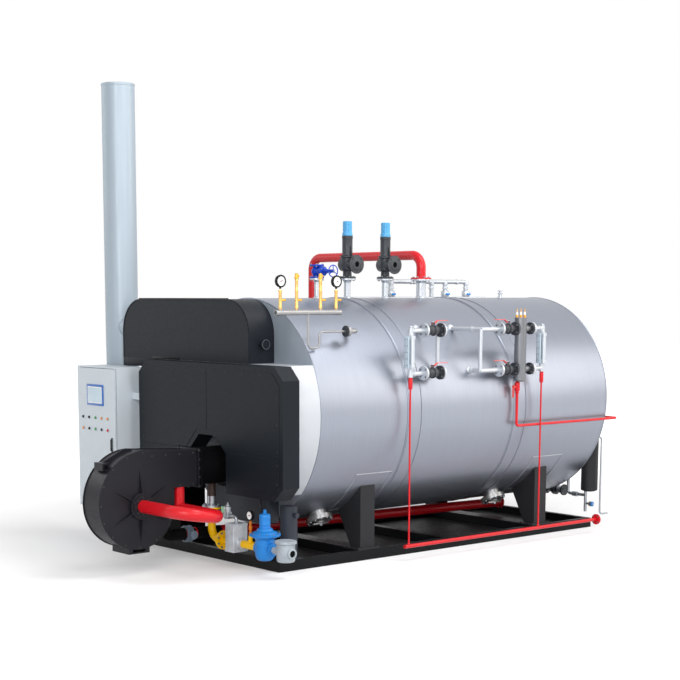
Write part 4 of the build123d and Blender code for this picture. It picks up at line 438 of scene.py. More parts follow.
FINISHED_NODES = (
    (SKID_BLACK, ("skid_side_rails", "skid_end_rails", "skid_outrigger", "skid_cross_beams")),
    (DECK_BLACK, ("skid_deck",)),
    (LEG_GREY, ("saddle_legs", "rear_tank")),
    (CLADDING, ("shell",)),
    (END_PLATE, ("front_plate", "rear_plate")),
    (CASING_STEEL, ("front_casing",)),
    # The lower casing's slate is painted shade from under the hood's overhang.
    (SLATE_AND_SHADE, ("lower_casing", "upright_pipe")),
    # The hood leg and burner head are real parts painted black as shade: the hollow under the hood's left
    # half and the deep arch recess.
    (SHADE_BLACK, ("hood_leg", "burner_head")),
    (CHARCOAL, ("front_hood",)),
    (FLUE_BLACK, ("flue_box",)),
    (CHIMNEY_BLUE, ("chimney",)),
    (CABINET_PALE, ("cabinet_body", "cabinet_door", "cabinet_arms")),
    (BURNER_BLACK, ("burner_housing", "burner_motor")),
    (RED, ("return_loop_pipe", "return_under_pipe", "steam_pipe")),
    (RED, ("electrode_drain_pipe", "drain_header", "gauge_drains")),
    (DAMPER_GREY, ("return_damper",)),
    (SILVER, ("gas_riser", "rear_pipes")),
    (YELLOW, ("gas_pipes",)),
    (CASTING, ("gas_valve_block", "pilot_gas_valve")),
    (BLUE, ("gas_regulator",)),
    (FILTER_GREY, ("gas_filter",)),
    (PIPE_STEEL, ("gauge_manifold", "handholes")),
    (BRASS, ("gauge_cocks",)),
    (BLACK_PLASTIC, ("pressure_gauges",)),
    (WHITE_METAL, ("top_nozzles", "feed_pipes", "level_pipes")),
    (VALVE_GREY, ("safety_valves", "level_ball_valves", "blowdown_valves")),
    (CAP_BLUE, ("safety_valve_caps",)),
    (VALVE_BLUE, ("globe_valve", "globe_handwheel")),
    (GAUGE_PLATE, ("level_gauges",)),
    (COLUMN_STEEL, ("electrode_column",)),
    (LEVER_RED, ("lever_upper_front", "lever_lower_front", "lever_upper_rear", "lever_lower_rear")),
    (LEVER_RED, ("lever_electrode_drain",)),
)
ROUNDED_NODES = (
    (0.002, ("burner_housing",)),
    (0.003, ("skid_side_rails", "skid_end_rails", "skid_outrigger", "skid_cross_beams", "saddle_legs")),
    (0.003, ("cabinet_body", "cabinet_door", "burner_head", "rear_tank")),
    (0.004, ("hood_leg", "cabinet_arms")),
    (0.006, ("lower_casing", "front_hood", "flue_box")),
)
ROUNDED_FROM = math.radians(40)
WELD_REACH = 1e-5


def dress_cad_nodes():
    """Give every carried-over node its finish, and round the edges of the sheet-metal ones."""
    for material, names in FINISHED_NODES:
        for name in names:
            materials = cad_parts[name].data.materials
            materials.clear()
            materials.append(material)
    for width, names in ROUNDED_NODES:
        for name in names:
            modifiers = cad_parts[name].modifiers
            modifiers.new("weld", "WELD").merge_threshold = WELD_REACH
            bevel = modifiers.new("bevel", "BEVEL")
            bevel.width = width
            bevel.segments = 2
            bevel.limit_method = "ANGLE"
            bevel.angle_limit = ROUNDED_FROM
            modifiers.new("normals", "WEIGHTED_NORMAL").keep_sharp = True


# Shell and hood
BAND_Y = (-0.907, 0.803)
RIDGE_R = 0.008
FAINT_R = 0.003
FAINT_STEP = 0.19
RING_STEPS = 144
THIN_SIDES = 8


def shell_point(y, angle, proud):
    """A point on the shell, at an angle in radians from the crown towards +X."""
    radius = SHELL_R + proud
    return Vector((radius * math.sin(angle), y, AXIS_Z + radius * math.cos(angle)))


def shell_ring(y, proud):
    return [shell_point(y, angle, proud) for angle in around(RING_STEPS)]


def make_shell_seams():
    """The raised ring at each cladding joint, a fainter one behind it and the rims at the ends."""
    seams = Piece()
    for band_y in BAND_Y:
        seams.tube(shell_ring(band_y, 0.003), RIDGE_R, sides=THIN_SIDES, closed=True)
        seams.tube(shell_ring(band_y + FAINT_STEP, 0.003), FAINT_R, sides=THIN_SIDES, closed=True)
    for end_y in (SHELL_LOW.y + 0.01, SHELL_HIGH.y - 0.01):
        seams.tube(shell_ring(end_y, -0.002), RIDGE_R, sides=THIN_SIDES, closed=True)
    seams.done("shell_seams", "cladding", CLADDING)


LEG_HALF = 0.166
PATCH_STRIP_R = 0.006
PATCH_HALF = 0.266
PATCH_TOP_ANGLE = math.radians(122)
PATCH_LOW_ANGLE = math.radians(152)
PATCH_STEPS = 12


def make_saddle_patches():
    """The raised outline of the reinforced patch over each saddle leg."""
    patches = Piece()
    low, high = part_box("saddle_legs")
    rise = PATCH_TOP_ANGLE - PATCH_LOW_ANGLE
    angles = [PATCH_LOW_ANGLE + rise * step / PATCH_STEPS for step in range(PATCH_STEPS + 1)]
    for middle_y in (low.y + LEG_HALF, high.y - LEG_HALF):
        for side in SIDES:
            low_y, far_y = middle_y - PATCH_HALF, middle_y + PATCH_HALF
            rising = [shell_point(low_y, side * angle, 0.001) for angle in angles]
            falling = [shell_point(far_y, side * angle, 0.001) for angle in reversed(angles)]
            patches.tube(rising + falling, PATCH_STRIP_R, sides=THIN_SIDES, closed=True)
    patches.done("saddle_patches", "cladding", SILVER)


HOOD_HEIGHT = 1.39
HOOD_BORDER = 0.062
HOOD_GAP = 0.003
HOOD_PANEL_T = 0.004
HOOD_SEAM_Z = 1.25
HOOD_CORNER = 0.126
ARCH_HALF = 0.34
ARCH_TOP_HALF = 0.15
ARCH_TOP_Z = 1.416
SCREW_INSET = 0.092
SCREW_SIDE_Z = (0.98, 1.18, 1.32, 1.6, 1.88)
SCREW_TOP_X = (0.05, 0.35, 0.65, 0.95)


def make_hood_panels():
    """Four thin panels on the hood's face, with the seams between them left open."""
    bottom, top = HOOD_HIGH.z - HOOD_HEIGHT + HOOD_BORDER, HOOD_HIGH.z - HOOD_BORDER
    above, below = HOOD_SEAM_Z + HOOD_GAP, HOOD_SEAM_Z - HOOD_GAP
    arch_top = ARCH_TOP_Z + HOOD_BORDER
    panels = Piece()
    for side in SIDES:
        gap, arch = side * HOOD_GAP, side * (ARCH_HALF + HOOD_BORDER)
        shoulder = side * (ARCH_TOP_HALF + HOOD_BORDER / 2)
        edge = side * (HOOD_HIGH.x - HOOD_BORDER)
        cut = side * (HOOD_HIGH.x - HOOD_BORDER - HOOD_CORNER)
        upper = [(gap, arch_top), (shoulder, arch_top), (arch, above), (edge, above)]
        upper += [(edge, top - HOOD_CORNER), (cut, top), (gap, top)]
        lower = [(arch, bottom), (cut, bottom), (edge, bottom + HOOD_CORNER), (edge, below), (arch, below)]
        for outline in (upper, lower):
            panels.plate(outline, (0, HOOD_LOW.y, 0), X_AXIS, Z_AXIS, HOOD_PANEL_T, 0.0015)
    panels.done("hood_panels", "black_paint", CHARCOAL)


def make_hood_screws():
    """Small round-headed screws round the hood's panels."""
    screws = Piece()
    for side in SIDES:
        spots = [(side * (HOOD_HIGH.x - SCREW_INSET), z) for z in SCREW_SIDE_Z]
        spots += [(side * x, HOOD_HIGH.z - SCREW_INSET) for x in SCREW_TOP_X]
        for x, z in spots:
            face = (x, HOOD_LOW.y - HOOD_PANEL_T, z)
            screws.turned(face, -Y_AXIS, [(0, 0.009), (0.004, 0.007)], 12, SHARP_CUT)
    screws.done("hood_screws", "black_paint", DARK_BOLT)


FLUE_RIGHT = 0.47
FLUE_ROUND_R = 0.38
FLUE_FOOT_Z = 2.2
FLUE_RIM_INSET = 0.012
SKIRT_RIGHT = -1.33
SKIRT_DROP = 0.096
ARC_STEPS = 8
PORT_R = 0.052


def make_flue_box_trim():
    """The rim round the flue box's front face, the skirt at its foot, a black strip of painted shade for
    the slot there, and its sight glass.
    """
    low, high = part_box("flue_box")
    rim, skirt, slot, ring, lip, glass = pieces(6)
    reach = FLUE_ROUND_R - FLUE_RIM_INSET
    centre_z = high.z - 0.01 - FLUE_ROUND_R
    route = [Vector((low.x + FLUE_RIM_INSET, low.y, FLUE_FOOT_Z))]
    for centre_x, start in ((low.x + FLUE_ROUND_R, math.pi), (FLUE_RIGHT - FLUE_ROUND_R, math.pi / 2)):
        for step in range(ARC_STEPS + 1):
            angle = start - math.pi / 2 * step / ARC_STEPS
            spot = (centre_x + reach * math.cos(angle), low.y, centre_z + reach * math.sin(angle))
            route.append(Vector(spot))
    route.append(Vector((FLUE_RIGHT - FLUE_RIM_INSET, low.y, FLUE_FOOT_Z)))
    rim.tube(route, 0.006, sides=THIN_SIDES)
    rim.done("flue_box_rim", "black_paint", CHARCOAL)
    skirt.block((low.x, low.y, low.z - SKIRT_DROP), (SKIRT_RIGHT, high.y - 0.004, low.z + 0.004), 0.004)
    skirt.done("flue_box_skirt", "black_paint", FLUE_BLACK)
    # A thin black plate that stands in for the shade inside the slot.
    slot.block((-1.378, low.y - 0.004, 2.197), (-0.837, low.y + 0.02, 2.222))
    slot.done("flue_box_slot_shade", "black_paint", BLACK_PLASTIC)
    port = Vector((high.x, -2.356, 2.4))
    profile = [(-0.03, PORT_R), (0, PORT_R), (0, 0.036), (-0.006, 0.036)]
    ring.turned(port, X_AXIS, profile)
    ring.bolt_ring(port, X_AXIS, 0.044, 6, 0.0045, 0.004)
    ring.done("sight_port_ring", "black_paint", DARK_BOLT)
    profile = [(-0.008, 0.053), (0.001, 0.053), (0.001, 0.047), (-0.008, 0.047)]
    lip.lathe(port, X_AXIS, profile, 44, closed=True)
    lip.done("sight_port_lip", "white_metal", STEEL_BOLT)
    glass.disc(port - X_AXIS * 0.01, X_AXIS, 0.034, 0.007)
    glass.done("sight_port_glass", "gauge_black", GLASS_DARK)


CHIMNEY_SPOT = Vector((-2.29, -2.35, 0))
CHIMNEY_R = 0.197
CHIMNEY_RIM = 0.004


def make_chimney_detail():
    """The rolled rim at the chimney's open top and the bolts of its foot."""
    top = Z_AXIS * (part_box("chimney")[1].z - 0.03)
    inner, outer = CHIMNEY_R - CHIMNEY_RIM, CHIMNEY_R + CHIMNEY_RIM
    outline = [(0, inner), (0, CHIMNEY_R), (0.003, outer), (0.027, outer)]
    outline += [(0.0295, CHIMNEY_R), (0.0295, inner)]
    rim = Piece()
    rim.lathe(CHIMNEY_SPOT + top, Z_AXIS, outline, 64, closed=True)
    rim.bolt_ring(CHIMNEY_SPOT + Z_AXIS * 0.014, Z_AXIS, 0.3, 4, 0.014, 0.016)
    rim.done("chimney_rim", "chimney_paint", CHIMNEY_BLUE)


# Control cabinet
SCREEN_LEFT, SCREEN_RIGHT = -2.136, -1.778
SCREEN_LOW_Z, SCREEN_TOP_Z = 1.636, 1.884
BUTTON_X = (-2.232, -2.1, -1.961, -1.828, -1.696)
BUTTON_ROWS = (
    (1.491, ("black", "black", "green", "orange", "orange")),
    (1.357, ("orange", "black", "green", "black", "red")),
)
BUTTON_R = 0.021
BUTTON_CAP = [(0, BUTTON_R * 0.74), (0.012, BUTTON_R * 0.7)]
BUTTON_LOOKS = {
    "black": ("gauge_black", BLACK_PLASTIC),
    "green": ("cabinet_paint", GREEN),
    "orange": ("yellow_paint", BUTTON_ORANGE),
    "red": ("red_paint", RED),
}
HANDLE_SPOT = (-1.611, 1.19)


def door_block(piece, left, right, low_z, top_z, front, back, cut, segments=2):
    """A block on the cabinet's door, between two depths before its face."""
    face = CABINET_FRONT_Y
    piece.block((left, face - front, low_z), (right, face - back, top_z), cut, segments)


def make_cabinet_front():
    """Touch screen, push buttons and handle on the cabinet's door."""
    for name, slot, material, inset, front, back, cut, segments in (
        ("screen_bezel", "blue_paint", SCREEN_BLUE, 0, 0.012, 0, 0.008, 3),
        ("screen_border", "white_metal", WHITE_DIAL, 0.026, 0.0145, 0.006, FINE_CUT, 2),
        ("screen_face", "cabinet_paint", SCREEN, 0.038, 0.016, 0.008, SHARP_CUT, 2),
    ):
        piece = Piece()
        left, right = SCREEN_LEFT + inset, SCREEN_RIGHT - inset
        low_z, top_z = SCREEN_LOW_Z + inset, SCREEN_TOP_Z - inset
        door_block(piece, left, right, low_z, top_z, front, back, cut, segments)
        piece.done(name, slot, material, body="cabinet_door")
    collars, handle = pieces(2)
    caps = {name: Piece() for name in BUTTON_LOOKS}
    for row_z, row in BUTTON_ROWS:
        for x, name in zip(BUTTON_X, row):
            face = Vector((x, CABINET_FRONT_Y, row_z))
            collars.disc(face, -Y_AXIS, BUTTON_R, 0.006, 28)
            caps[name].turned(face - Y_AXIS * 0.004, -Y_AXIS, BUTTON_CAP, 28, SOFT_CUT)
    collars.done("button_collars", "white_metal", SILVER, body="cabinet_door")
    for name, piece in caps.items():
        piece.done("buttons_" + name, *BUTTON_LOOKS[name], body="cabinet_door")
    x, z = HANDLE_SPOT
    door_block(handle, x - 0.016, x + 0.016, z - 0.085, z + 0.085, 0.006, 0, SOFT_CUT)
    door_block(handle, x - 0.009, x + 0.009, z - 0.07, z + 0.07, 0.024, 0.004, 0.005, 3)
    handle.done("cabinet_handle", "gauge_black", BLACK_PLASTIC, body="cabinet_door")


# Burner
FAN = Vector((0.16, -3.735, 0.735))
SCROLL_ARCS = (((-3.7, 0.77), 0.535, 90), ((-3.748, 0.77), 0.487, 180), ((-3.748, 0.716), 0.433, 270))
SCROLL_INSET = 0.014
SCROLL_BOLT_STEP = 0.21
DUCT_START_Y = -3.7
DUCT_END_Y = -2.997
DUCT_TOP_Z = 1.262
DUCT_LOW_Z = 0.905
DUCT_HALF = 0.175
DUCT_LIP_T = 0.012
DUCT_BOLTS = 4
SCROLL_CLEAR_Y = -3.3
RIB_COUNT = 6
RIB_T = 0.01
RIB_OUTLINE = [(0.12, -0.002), (0.12, 0.044), (0.17, 0.044), (0.37, 0.006), (0.37, -0.002)]


def outward(angle):
    """The direction at an angle in the fan's plane."""
    return Vector((0, math.cos(angle), math.sin(angle)))


def scroll_spots():
    """Places along the fan scroll's outline, set in from its edge, as pairs of Y and Z."""
    spots = []
    for (centre_y, centre_z), radius, start in SCROLL_ARCS:
        radius -= SCROLL_INSET
        steps = max(2, round(radius * math.pi / 2 / SCROLL_BOLT_STEP))
        for step in range(steps):
            angle = math.radians(start + 90 * step / steps)
            spots.append((centre_y + radius * math.cos(angle), centre_z + radius * math.sin(angle)))
    return spots


def make_burner_ribs():
    """Ribs and inlet collar on the fan's face, and the lip at its duct's end."""
    ribs = Piece()
    for angle in around(RIB_COUNT, 0.5):
        out = outward(angle)
        ribs.plate(RIB_OUTLINE, FAN - out.cross(X_AXIS) * RIB_T / 2, out, X_AXIS, RIB_T, 0.0015)
    ribs.disc(FAN + X_AXIS * 0.038, X_AXIS, 0.112, 0.014, 56)
    start_y = DUCT_END_Y - DUCT_LIP_T
    for z in (DUCT_TOP_Z, DUCT_LOW_Z):
        ribs.block((-DUCT_HALF, start_y, z - 0.03), (DUCT_HALF, DUCT_END_Y, z + 0.03))
    for x in (-DUCT_HALF, DUCT_HALF):
        ribs.block((x - 0.02, start_y, DUCT_LOW_Z - 0.03), (x + 0.02, DUCT_END_Y, DUCT_TOP_Z + 0.03))
    ribs.done("burner_ribs", "black_paint", BURNER_BLACK)


def make_burner_bolts():
    """Bolts along the scroll and duct, on the inlet and round the flange to the hood, and a black plate of
    painted shade for the lug's hole.
    """
    bolts, hole_shade = pieces(2)
    spots = scroll_spots()
    duct_step = (DUCT_END_Y - DUCT_START_Y) / DUCT_BOLTS
    for step in range(DUCT_BOLTS):
        y = DUCT_END_Y - 0.06 - step * duct_step
        spots.append((y, DUCT_TOP_Z - 0.012))
        if y > SCROLL_CLEAR_Y:
            spots.append((y, DUCT_LOW_Z + 0.012))
    for y, z in spots:
        for side in (1, -1):
            bolts.hexagon((side * FAN.x, y, z), X_AXIS * side, 0.0075, 0.007)
    bolts.bolt_ring(FAN + X_AXIS * 0.052, X_AXIS, 0.09, 8, 0.0065, 0.006)
    middle_z = (DUCT_TOP_Z + DUCT_LOW_Z) / 2
    for along in (-0.19, -0.095, 0, 0.095, 0.19):
        for x, z in ((along, 0.2), (along, -0.2), (0.2, along), (-0.2, along)):
            bolts.hexagon((x, DUCT_END_Y, middle_z + z), -Y_AXIS, 0.008, 0.008)
    # A thin black plate on the lug that stands in for the shade in its hole.
    hole_shade.block((0.078, -4.131, 1.141), (0.0812, -4.079, 1.189), SHARP_CUT)
    hole_shade.done("lug_hole_shade", "gauge_black", SHADE_BLACK)
    bolts.done("burner_bolts", "valve_grey", VALVE_GREY)


MOTOR_R = 0.104
FIN_COUNT = 30
FIN_HALF = 0.002


def make_burner_motor():
    """The fan motor: finned body, end shield, terminal box and feet ring."""
    motor = Piece()
    start = Vector((-FAN.x, FAN.y, FAN.z))
    profile = cylinders((0.016, 0.125), (0.189, MOTOR_R), (0.017, 0.112), (0.063, 0.118)) + [(0.3, 0.1)]
    motor.turned(start, -X_AXIS, profile, 48, 0.004)
    fin = [(-FIN_HALF, 0), (FIN_HALF, 0), (FIN_HALF, 0.02), (-FIN_HALF, 0.02)]
    for angle in around(FIN_COUNT):
        out = outward(angle)
        motor.plate(fin, start - X_AXIS * 0.02 + out * 0.1, X_AXIS.cross(out), out, 0.18)
    motor.block((-0.31, FAN.y - 0.05, FAN.z + 0.095), (-0.2, FAN.y + 0.05, FAN.z + 0.12), 0.004)
    motor.bolt_ring(start - X_AXIS * 0.016, -X_AXIS, 0.116, 8, 0.006, 0.005)
    motor.done("burner_motor_detail", "black_paint", BURNER_BLACK, ["burner_motor"])


# Gas train
TRAIN_Y = -2.7
TRAIN_Z = 0.275
RISER_JOINT_Z = 0.62
TRAIN_JOINT_X = 0.217
BLOCK_LEFT, BLOCK_RIGHT = 0.368, 0.528
BLOCK_LOW_Z, BLOCK_TOP_Z = 0.18, 0.49
PILOT_X = 0.3
PILOT_RUN_Z = 0.556
PILOT_DROP_X = 0.45
REGULATOR_X = 0.95
FILTER_X = 1.3
RETURN_X = -0.2


def train(x, z=TRAIN_Z, shift=0.0):
    """A point on the gas train, shifted along Y from its middle."""
    return Vector((x, TRAIN_Y + shift, z))


def make_gas_train_bolts():
    bolts = Piece()
    bolts.bolted_pair(train(0, RISER_JOINT_Z), Z_AXIS, 0.022, 0.082, 8, 0.011)
    bolts.bolted_pair(train(TRAIN_JOINT_X), X_AXIS, 0.011, 0.082, 8, 0.011)
    bolts.done("gas_train_bolts", "white_metal", STEEL_BOLT)


def make_valve_block():
    """The gas valve: a tall cast box with a foot flange, a lid and a round port."""
    block, bolts = pieces(2)
    left, right, foot, lid = BLOCK_LEFT, BLOCK_RIGHT, BLOCK_LOW_Z, BLOCK_TOP_Z
    block.block(train(left + 0.004, foot, -0.094), train(right - 0.004, lid, 0.096), 0.008, 3)
    block.block(train(left, foot, -0.1), train(right, foot + 0.03, 0.1), 0.006, 3)
    block.block(train(left, lid - 0.02, -0.098), train(right, lid - 0.006, 0.1), SOFT_CUT)
    block.turned(train(right - 0.01), X_AXIS, cylinders((0.03, 0.062), (0.03, 0.054)), 40, SOFT_CUT)
    block.done("gas_valve_body", "white_metal", CASTING, ["gas_valve_block"])
    for x in (left + 0.02, right - 0.02):
        for shift in (-0.05, 0.07):
            bolts.hexagon(train(x, lid - 0.007, shift), Z_AXIS, 0.006, 0.006)
    bolts.bolt_ring(train(right + 0.02), X_AXIS, 0.058, 4, 0.0035, 0.005)
    bolts.done("gas_valve_bolts", "white_metal", STEEL_BOLT)


def make_pilot_valve():
    """The small pilot gas valve with its tubes, cap and green connector."""
    x, run_z, drop_x = PILOT_X, PILOT_RUN_Z, PILOT_DROP_X
    valve, clip, box = pieces(3)
    valve.block(train(x - 0.034, 0.52, -0.034), train(x + 0.034, 0.6, 0.034), 0.006, 3)
    valve.turned(train(x, 0.59), Z_AXIS, cylinders((0.065, 0.0385), (0.004, 0.03)), 36)
    valve.nut(train(x, 0.658), Z_AXIS, 0.024, 0.014, cut=SHARP_CUT)
    valve.disc(train(x, 0.67), Z_AXIS, 0.0105, 0.029, 20)
    valve.tube([train(x + 0.012, run_z), train(drop_x, run_z), train(drop_x, 0.488)], 0.018, 0.03)
    valve.rod(train(0.044, run_z), train(x, run_z), 0.012)
    for start_x, length in ((0.335, 0.025), (0.24, 0.022), (0.06, 0.03)):
        valve.nut(train(start_x, run_z), X_AXIS, 0.021, length)
    valve.nut(train(drop_x, 0.49), Z_AXIS, 0.022, 0.022)
    valve.done("pilot_valve_body", "white_metal", SILVER, ["pilot_gas_valve"])
    clip.block(train(x - 0.02, 0.628, -0.037), train(x + 0.02, 0.65, -0.03))
    clip.done("pilot_valve_clip", "white_metal", WHITE_DIAL)
    box.block(train(x - 0.092, 0.575, -0.026), train(x - 0.036, 0.648, 0.026), 0.005, 3)
    box.done("pilot_valve_connector", "cabinet_paint", PALE_GREEN)


BOWL = [(0, 0.07), (0.012, 0.084), (0.03, 0.096), (0.06, 0.104), (0.13, 0.106), (0.13, 0.108)]
BOWL += [(0.15, 0.108), (0.15, 0.105), (0.226, 0.103), (0.238, 0.118), (0.25, 0.14), (0.262, 0.14)]
DIAPHRAGM_JOINT = [(0.262, 0.166), (0.273, 0.166), (0.273, 0.163)]
DIAPHRAGM_JOINT += [(0.275, 0.163), (0.275, 0.166), (0.286, 0.166)]
SHOULDER = [(0.286, 0.134), (0.302, 0.126), (0.312, 0.098), (0.322, 0.084), (0.34, 0.08), (0.345, 0.062)]
BONNET_R = 0.058
BONNET_RIDGES = (0.38, 0.45)
BONNET_TOP = [(0.484, BONNET_R), (0.494, 0.052), (0.496, 0.04)]
LEFT_PORT = [(0, 0.05), (0.1, 0.05), (0.106, 0.058), (0.106, 0.062), (0.13, 0.062)]
RIGHT_PORT = [(0, 0.05), (0.105, 0.05), (0.122, 0.054), (0.122, 0.066), (0.15, 0.066)]


def make_regulator():
    """The gas regulator: flanged bowl, diaphragm joint with its bolts and the ribbed bonnet."""
    body, bolts = pieces(2)
    profile = BOWL + DIAPHRAGM_JOINT + SHOULDER + [(0.352, BONNET_R)]
    for ridge in BONNET_RIDGES:
        ring = [(0, BONNET_R), (0.002, 0.06), (0.01, 0.06), (0.012, BONNET_R)]
        profile += [(ridge + place, radius) for place, radius in ring]
    body.turned(train(REGULATOR_X, 0.15), Z_AXIS, profile + BONNET_TOP, 64, 0.0015)
    cap = [(0, 0.024), (0.02, 0.024), (0.02, 0.018), (0.05, 0.016)]
    body.turned(train(REGULATOR_X, 0.64), Z_AXIS, cap, 6, SOFT_CUT)
    for way, port in ((-1, LEFT_PORT), (1, RIGHT_PORT)):
        body.turned(train(REGULATOR_X), X_AXIS * way, port, 40, SOFT_CUT)
    body.done("regulator_body", "blue_paint", BLUE, ["gas_regulator"])
    for face_z, way in ((0.436, 1), (0.412, -1)):
        bolts.bolt_ring(train(REGULATOR_X, face_z), Z_AXIS * way, 0.152, 12, 0.0075, 0.008)
    bolts.bolt_ring(train(REGULATOR_X + 0.122), -X_AXIS, 0.058, 4, 0.006, 0.006)
    bolts.done("regulator_bolts", "white_metal", STEEL_BOLT)


FILTER_POT = [(0, 0.08), (0.006, 0.09), (0.02, 0.096), (0.05, 0.0975), (0.12, 0.098), (0.188, 0.098)]
FILTER_LID = [(0.196, 0.116), (0.208, 0.116), (0.208, 0.113), (0.211, 0.113), (0.211, 0.116)]
FILTER_LID += [(0.224, 0.114), (0.2235, 0.07), (0.2235, 0.03)]
FILTER_PORT = [(0.103, 0.0), (0.103, 0.037), (0.1155, 0.037), (0.1155, 0.052), (0.112, 0.056)]
FILTER_PORT += [(0.1, 0.056), (0.096, 0.05), (0.0, 0.05), (0.0, 0.0)]


def make_gas_filter():
    """The gas filter: cast pot with a bolted lid and an open round port, whose depth is a black disc of
    painted shade.
    """
    pot, bore_shade, bolts = pieces(3)
    pot.turned(train(FILTER_X, 0.178), Z_AXIS, FILTER_POT + FILTER_LID, 56)
    pot.rod(train(FILTER_X - 0.2), train(FILTER_X), 0.036)
    pot.nut(train(FILTER_X - 0.15), X_AXIS, 0.046, 0.03, 8, SOFT_CUT)
    pot.lathe(train(FILTER_X), X_AXIS, FILTER_PORT, 44)
    pot.done("gas_filter_pot", "white_metal", FILTER_GREY, ["gas_filter"])
    # A black disc on the port's shallow floor that stands in for the shade of its bore.
    bore_shade.disc(train(FILTER_X + 0.1025), X_AXIS, 0.0365, 0.002, cut=0.0005)
    bore_shade.done("gas_filter_bore_shade", "gauge_black", SHADE_BLACK)
    bolts.bolt_ring(train(FILTER_X, 0.374), -Z_AXIS, 0.107, 8, 0.0065, 0.007)
    bolts.done("gas_filter_bolts", "white_metal", STEEL_BOLT)


DAMPER_START = Vector((RETURN_X, -2.93, 0.3136))
DAMPER_ALONG = Vector((0, 1, -0.0162)).normalized()
DAMPER_BORE_R = 0.0601
DAMPER_LENGTH = 0.08
KNOB_Y = -2.89
KNOB_Z = 0.313


def make_damper():
    """The return pipe's damper with its flanges, bolts and knob."""
    body, bolts = pieces(2)
    outside = cylinders((0.018, 0.092), (0.044, 0.074), (0.018, 0.092))
    profile = [(0, DAMPER_BORE_R)] + outside + [(DAMPER_LENGTH, DAMPER_BORE_R)]
    body.lathe(DAMPER_START, DAMPER_ALONG, soften(profile, SOFT_CUT), 48)
    body.rod((RETURN_X + 0.05, KNOB_Y, KNOB_Z), (-0.068, KNOB_Y, KNOB_Z), 0.016)
    body.disc((-0.076, KNOB_Y, KNOB_Z), X_AXIS, 0.048, 0.016, 32, 0.004)
    body.done("damper_body", "damper_grey", DAMPER_GREY, ["return_damper"])
    bolts.bolt_ring(DAMPER_START + DAMPER_ALONG * DAMPER_LENGTH, DAMPER_ALONG, 0.081, 8, 0.006, 0.006)
    bolts.bolt_ring(DAMPER_START, -DAMPER_ALONG, 0.081, 8, 0.006, 0.006)
    bolts.done("damper_bolts", "white_metal", STEEL_BOLT)


def make_shade_sleeves():
    """Sleeves of painted shade: black over the elbow and coupling at the damper, where the red pipe lies
    in shadow, and dark brown over the upper riser inside the hood's recess.
    """
    shade_sleeves, ring, riser_shade = pieces(3)
    x = RETURN_X
    shade_sleeves.tube([(x, -3.2, 0.52), (x, -3.2, 0.318), (x, -2.94, 0.3137)], 0.0695, 0.12, 32)
    shade_sleeves.rod((x, -2.846, 0.3122), (x, -2.45, 0.3057), 0.0625)
    shade_sleeves.done("damper_shade_sleeves", "black_paint", SHADE_BLACK)
    ring.rod((x, -2.8, 0.3114), (x, -2.786, 0.3112), 0.066)
    ring.done("damper_red_ring", "red_paint", RED)
    riser_shade.rod(train(0, 0.74), train(0, 0.96), 0.046)
    riser_shade.done("riser_shade_sleeve", "valve_grey", SHADE_BROWN)


# Gauges
MANIFOLD_X = 1.07
MANIFOLD_Z = 2.743
COCK_LOW_Z = 2.765
COCK_HANDLE_Z = 2.873
COCKS = ((-2.583, 2.996), (-2.365, 3.15), (-2.04, 3.15), (-1.823, 2.996))
COCK_R = 0.0165
COCK_HEX_R = 0.0185
TALL_FROM_Z = 3.05


def manifold(y, z=MANIFOLD_Z):
    return Vector((MANIFOLD_X, y, z))


def make_cocks():
    """The brass cocks on the manifold: hexagons, bodies, handles and the tall sampling columns."""
    pale, brass, grips = pieces(3)
    for y, top_z in COCKS:
        profile = [(0, 0.013), (0.02, 0.013), (0.02, COCK_HEX_R), (0.045, COCK_HEX_R), (0.048, COCK_R)]
        profile += [(0.185, COCK_R), (0.188, COCK_HEX_R), (0.212, COCK_HEX_R), (0.215, COCK_R)]
        if top_z > TALL_FROM_Z:
            profile += [(0.3, COCK_R), (0.303, COCK_HEX_R), (0.315, COCK_HEX_R), (0.318, COCK_R)]
            cap = [(0, 0.0235), (0.024, 0.0235), (0.028, 0.019), (0.06, COCK_HEX_R)]
            brass.turned(manifold(y, top_z - 0.062), Z_AXIS, cap, 6, SOFT_CUT)
            knob = [(0, 0.012), (0.03, 0.012), (0.034, 0.009)]
            brass.turned(manifold(y, top_z - 0.03), Y_AXIS, knob, 20)
        profile.append((top_z - COCK_LOW_Z - 0.02, COCK_R))
        pale.turned(manifold(y, COCK_LOW_Z), Z_AXIS, profile, 28, 0.0015)
        handle = [(0, 0.0125), (0.06, 0.0125), (0.07, 0.01)]
        brass.turned(manifold(y, COCK_HANDLE_Z), Y_AXIS, handle, 24)
        grips.disc(manifold(y + 0.0695, COCK_HANDLE_Z), Y_AXIS, 0.0075, 0.006, 20, SHARP_CUT)
    pale.done("cock_bodies", "brass", PALE_BRASS, ["gauge_cocks"])
    brass.done("cock_handles", "brass", BRASS)
    grips.done("cock_grips", "gauge_black", DARK_BOLT)


DIAL_SHARE = 0.73
MARK_TOP = 0.69
MARK_COUNT = 41
LONG_MARK_EVERY = 5
LONG_MARK = (0.14, 0.014)
SHORT_MARK = (0.07, 0.008)
FIRST_MARK_ANGLE = 225
MARK_ANGLE = 6.75
POINTER_ANGLE = 205
LIMIT_ANGLE = 15
POINTER = [(-0.035, -0.16), (0.035, -0.16), (0, 0.58)]
LIMIT_MARK = [(-0.06, 0.1), (0.06, 0.1), (0.06, 0.36), (-0.06, 0.36)]


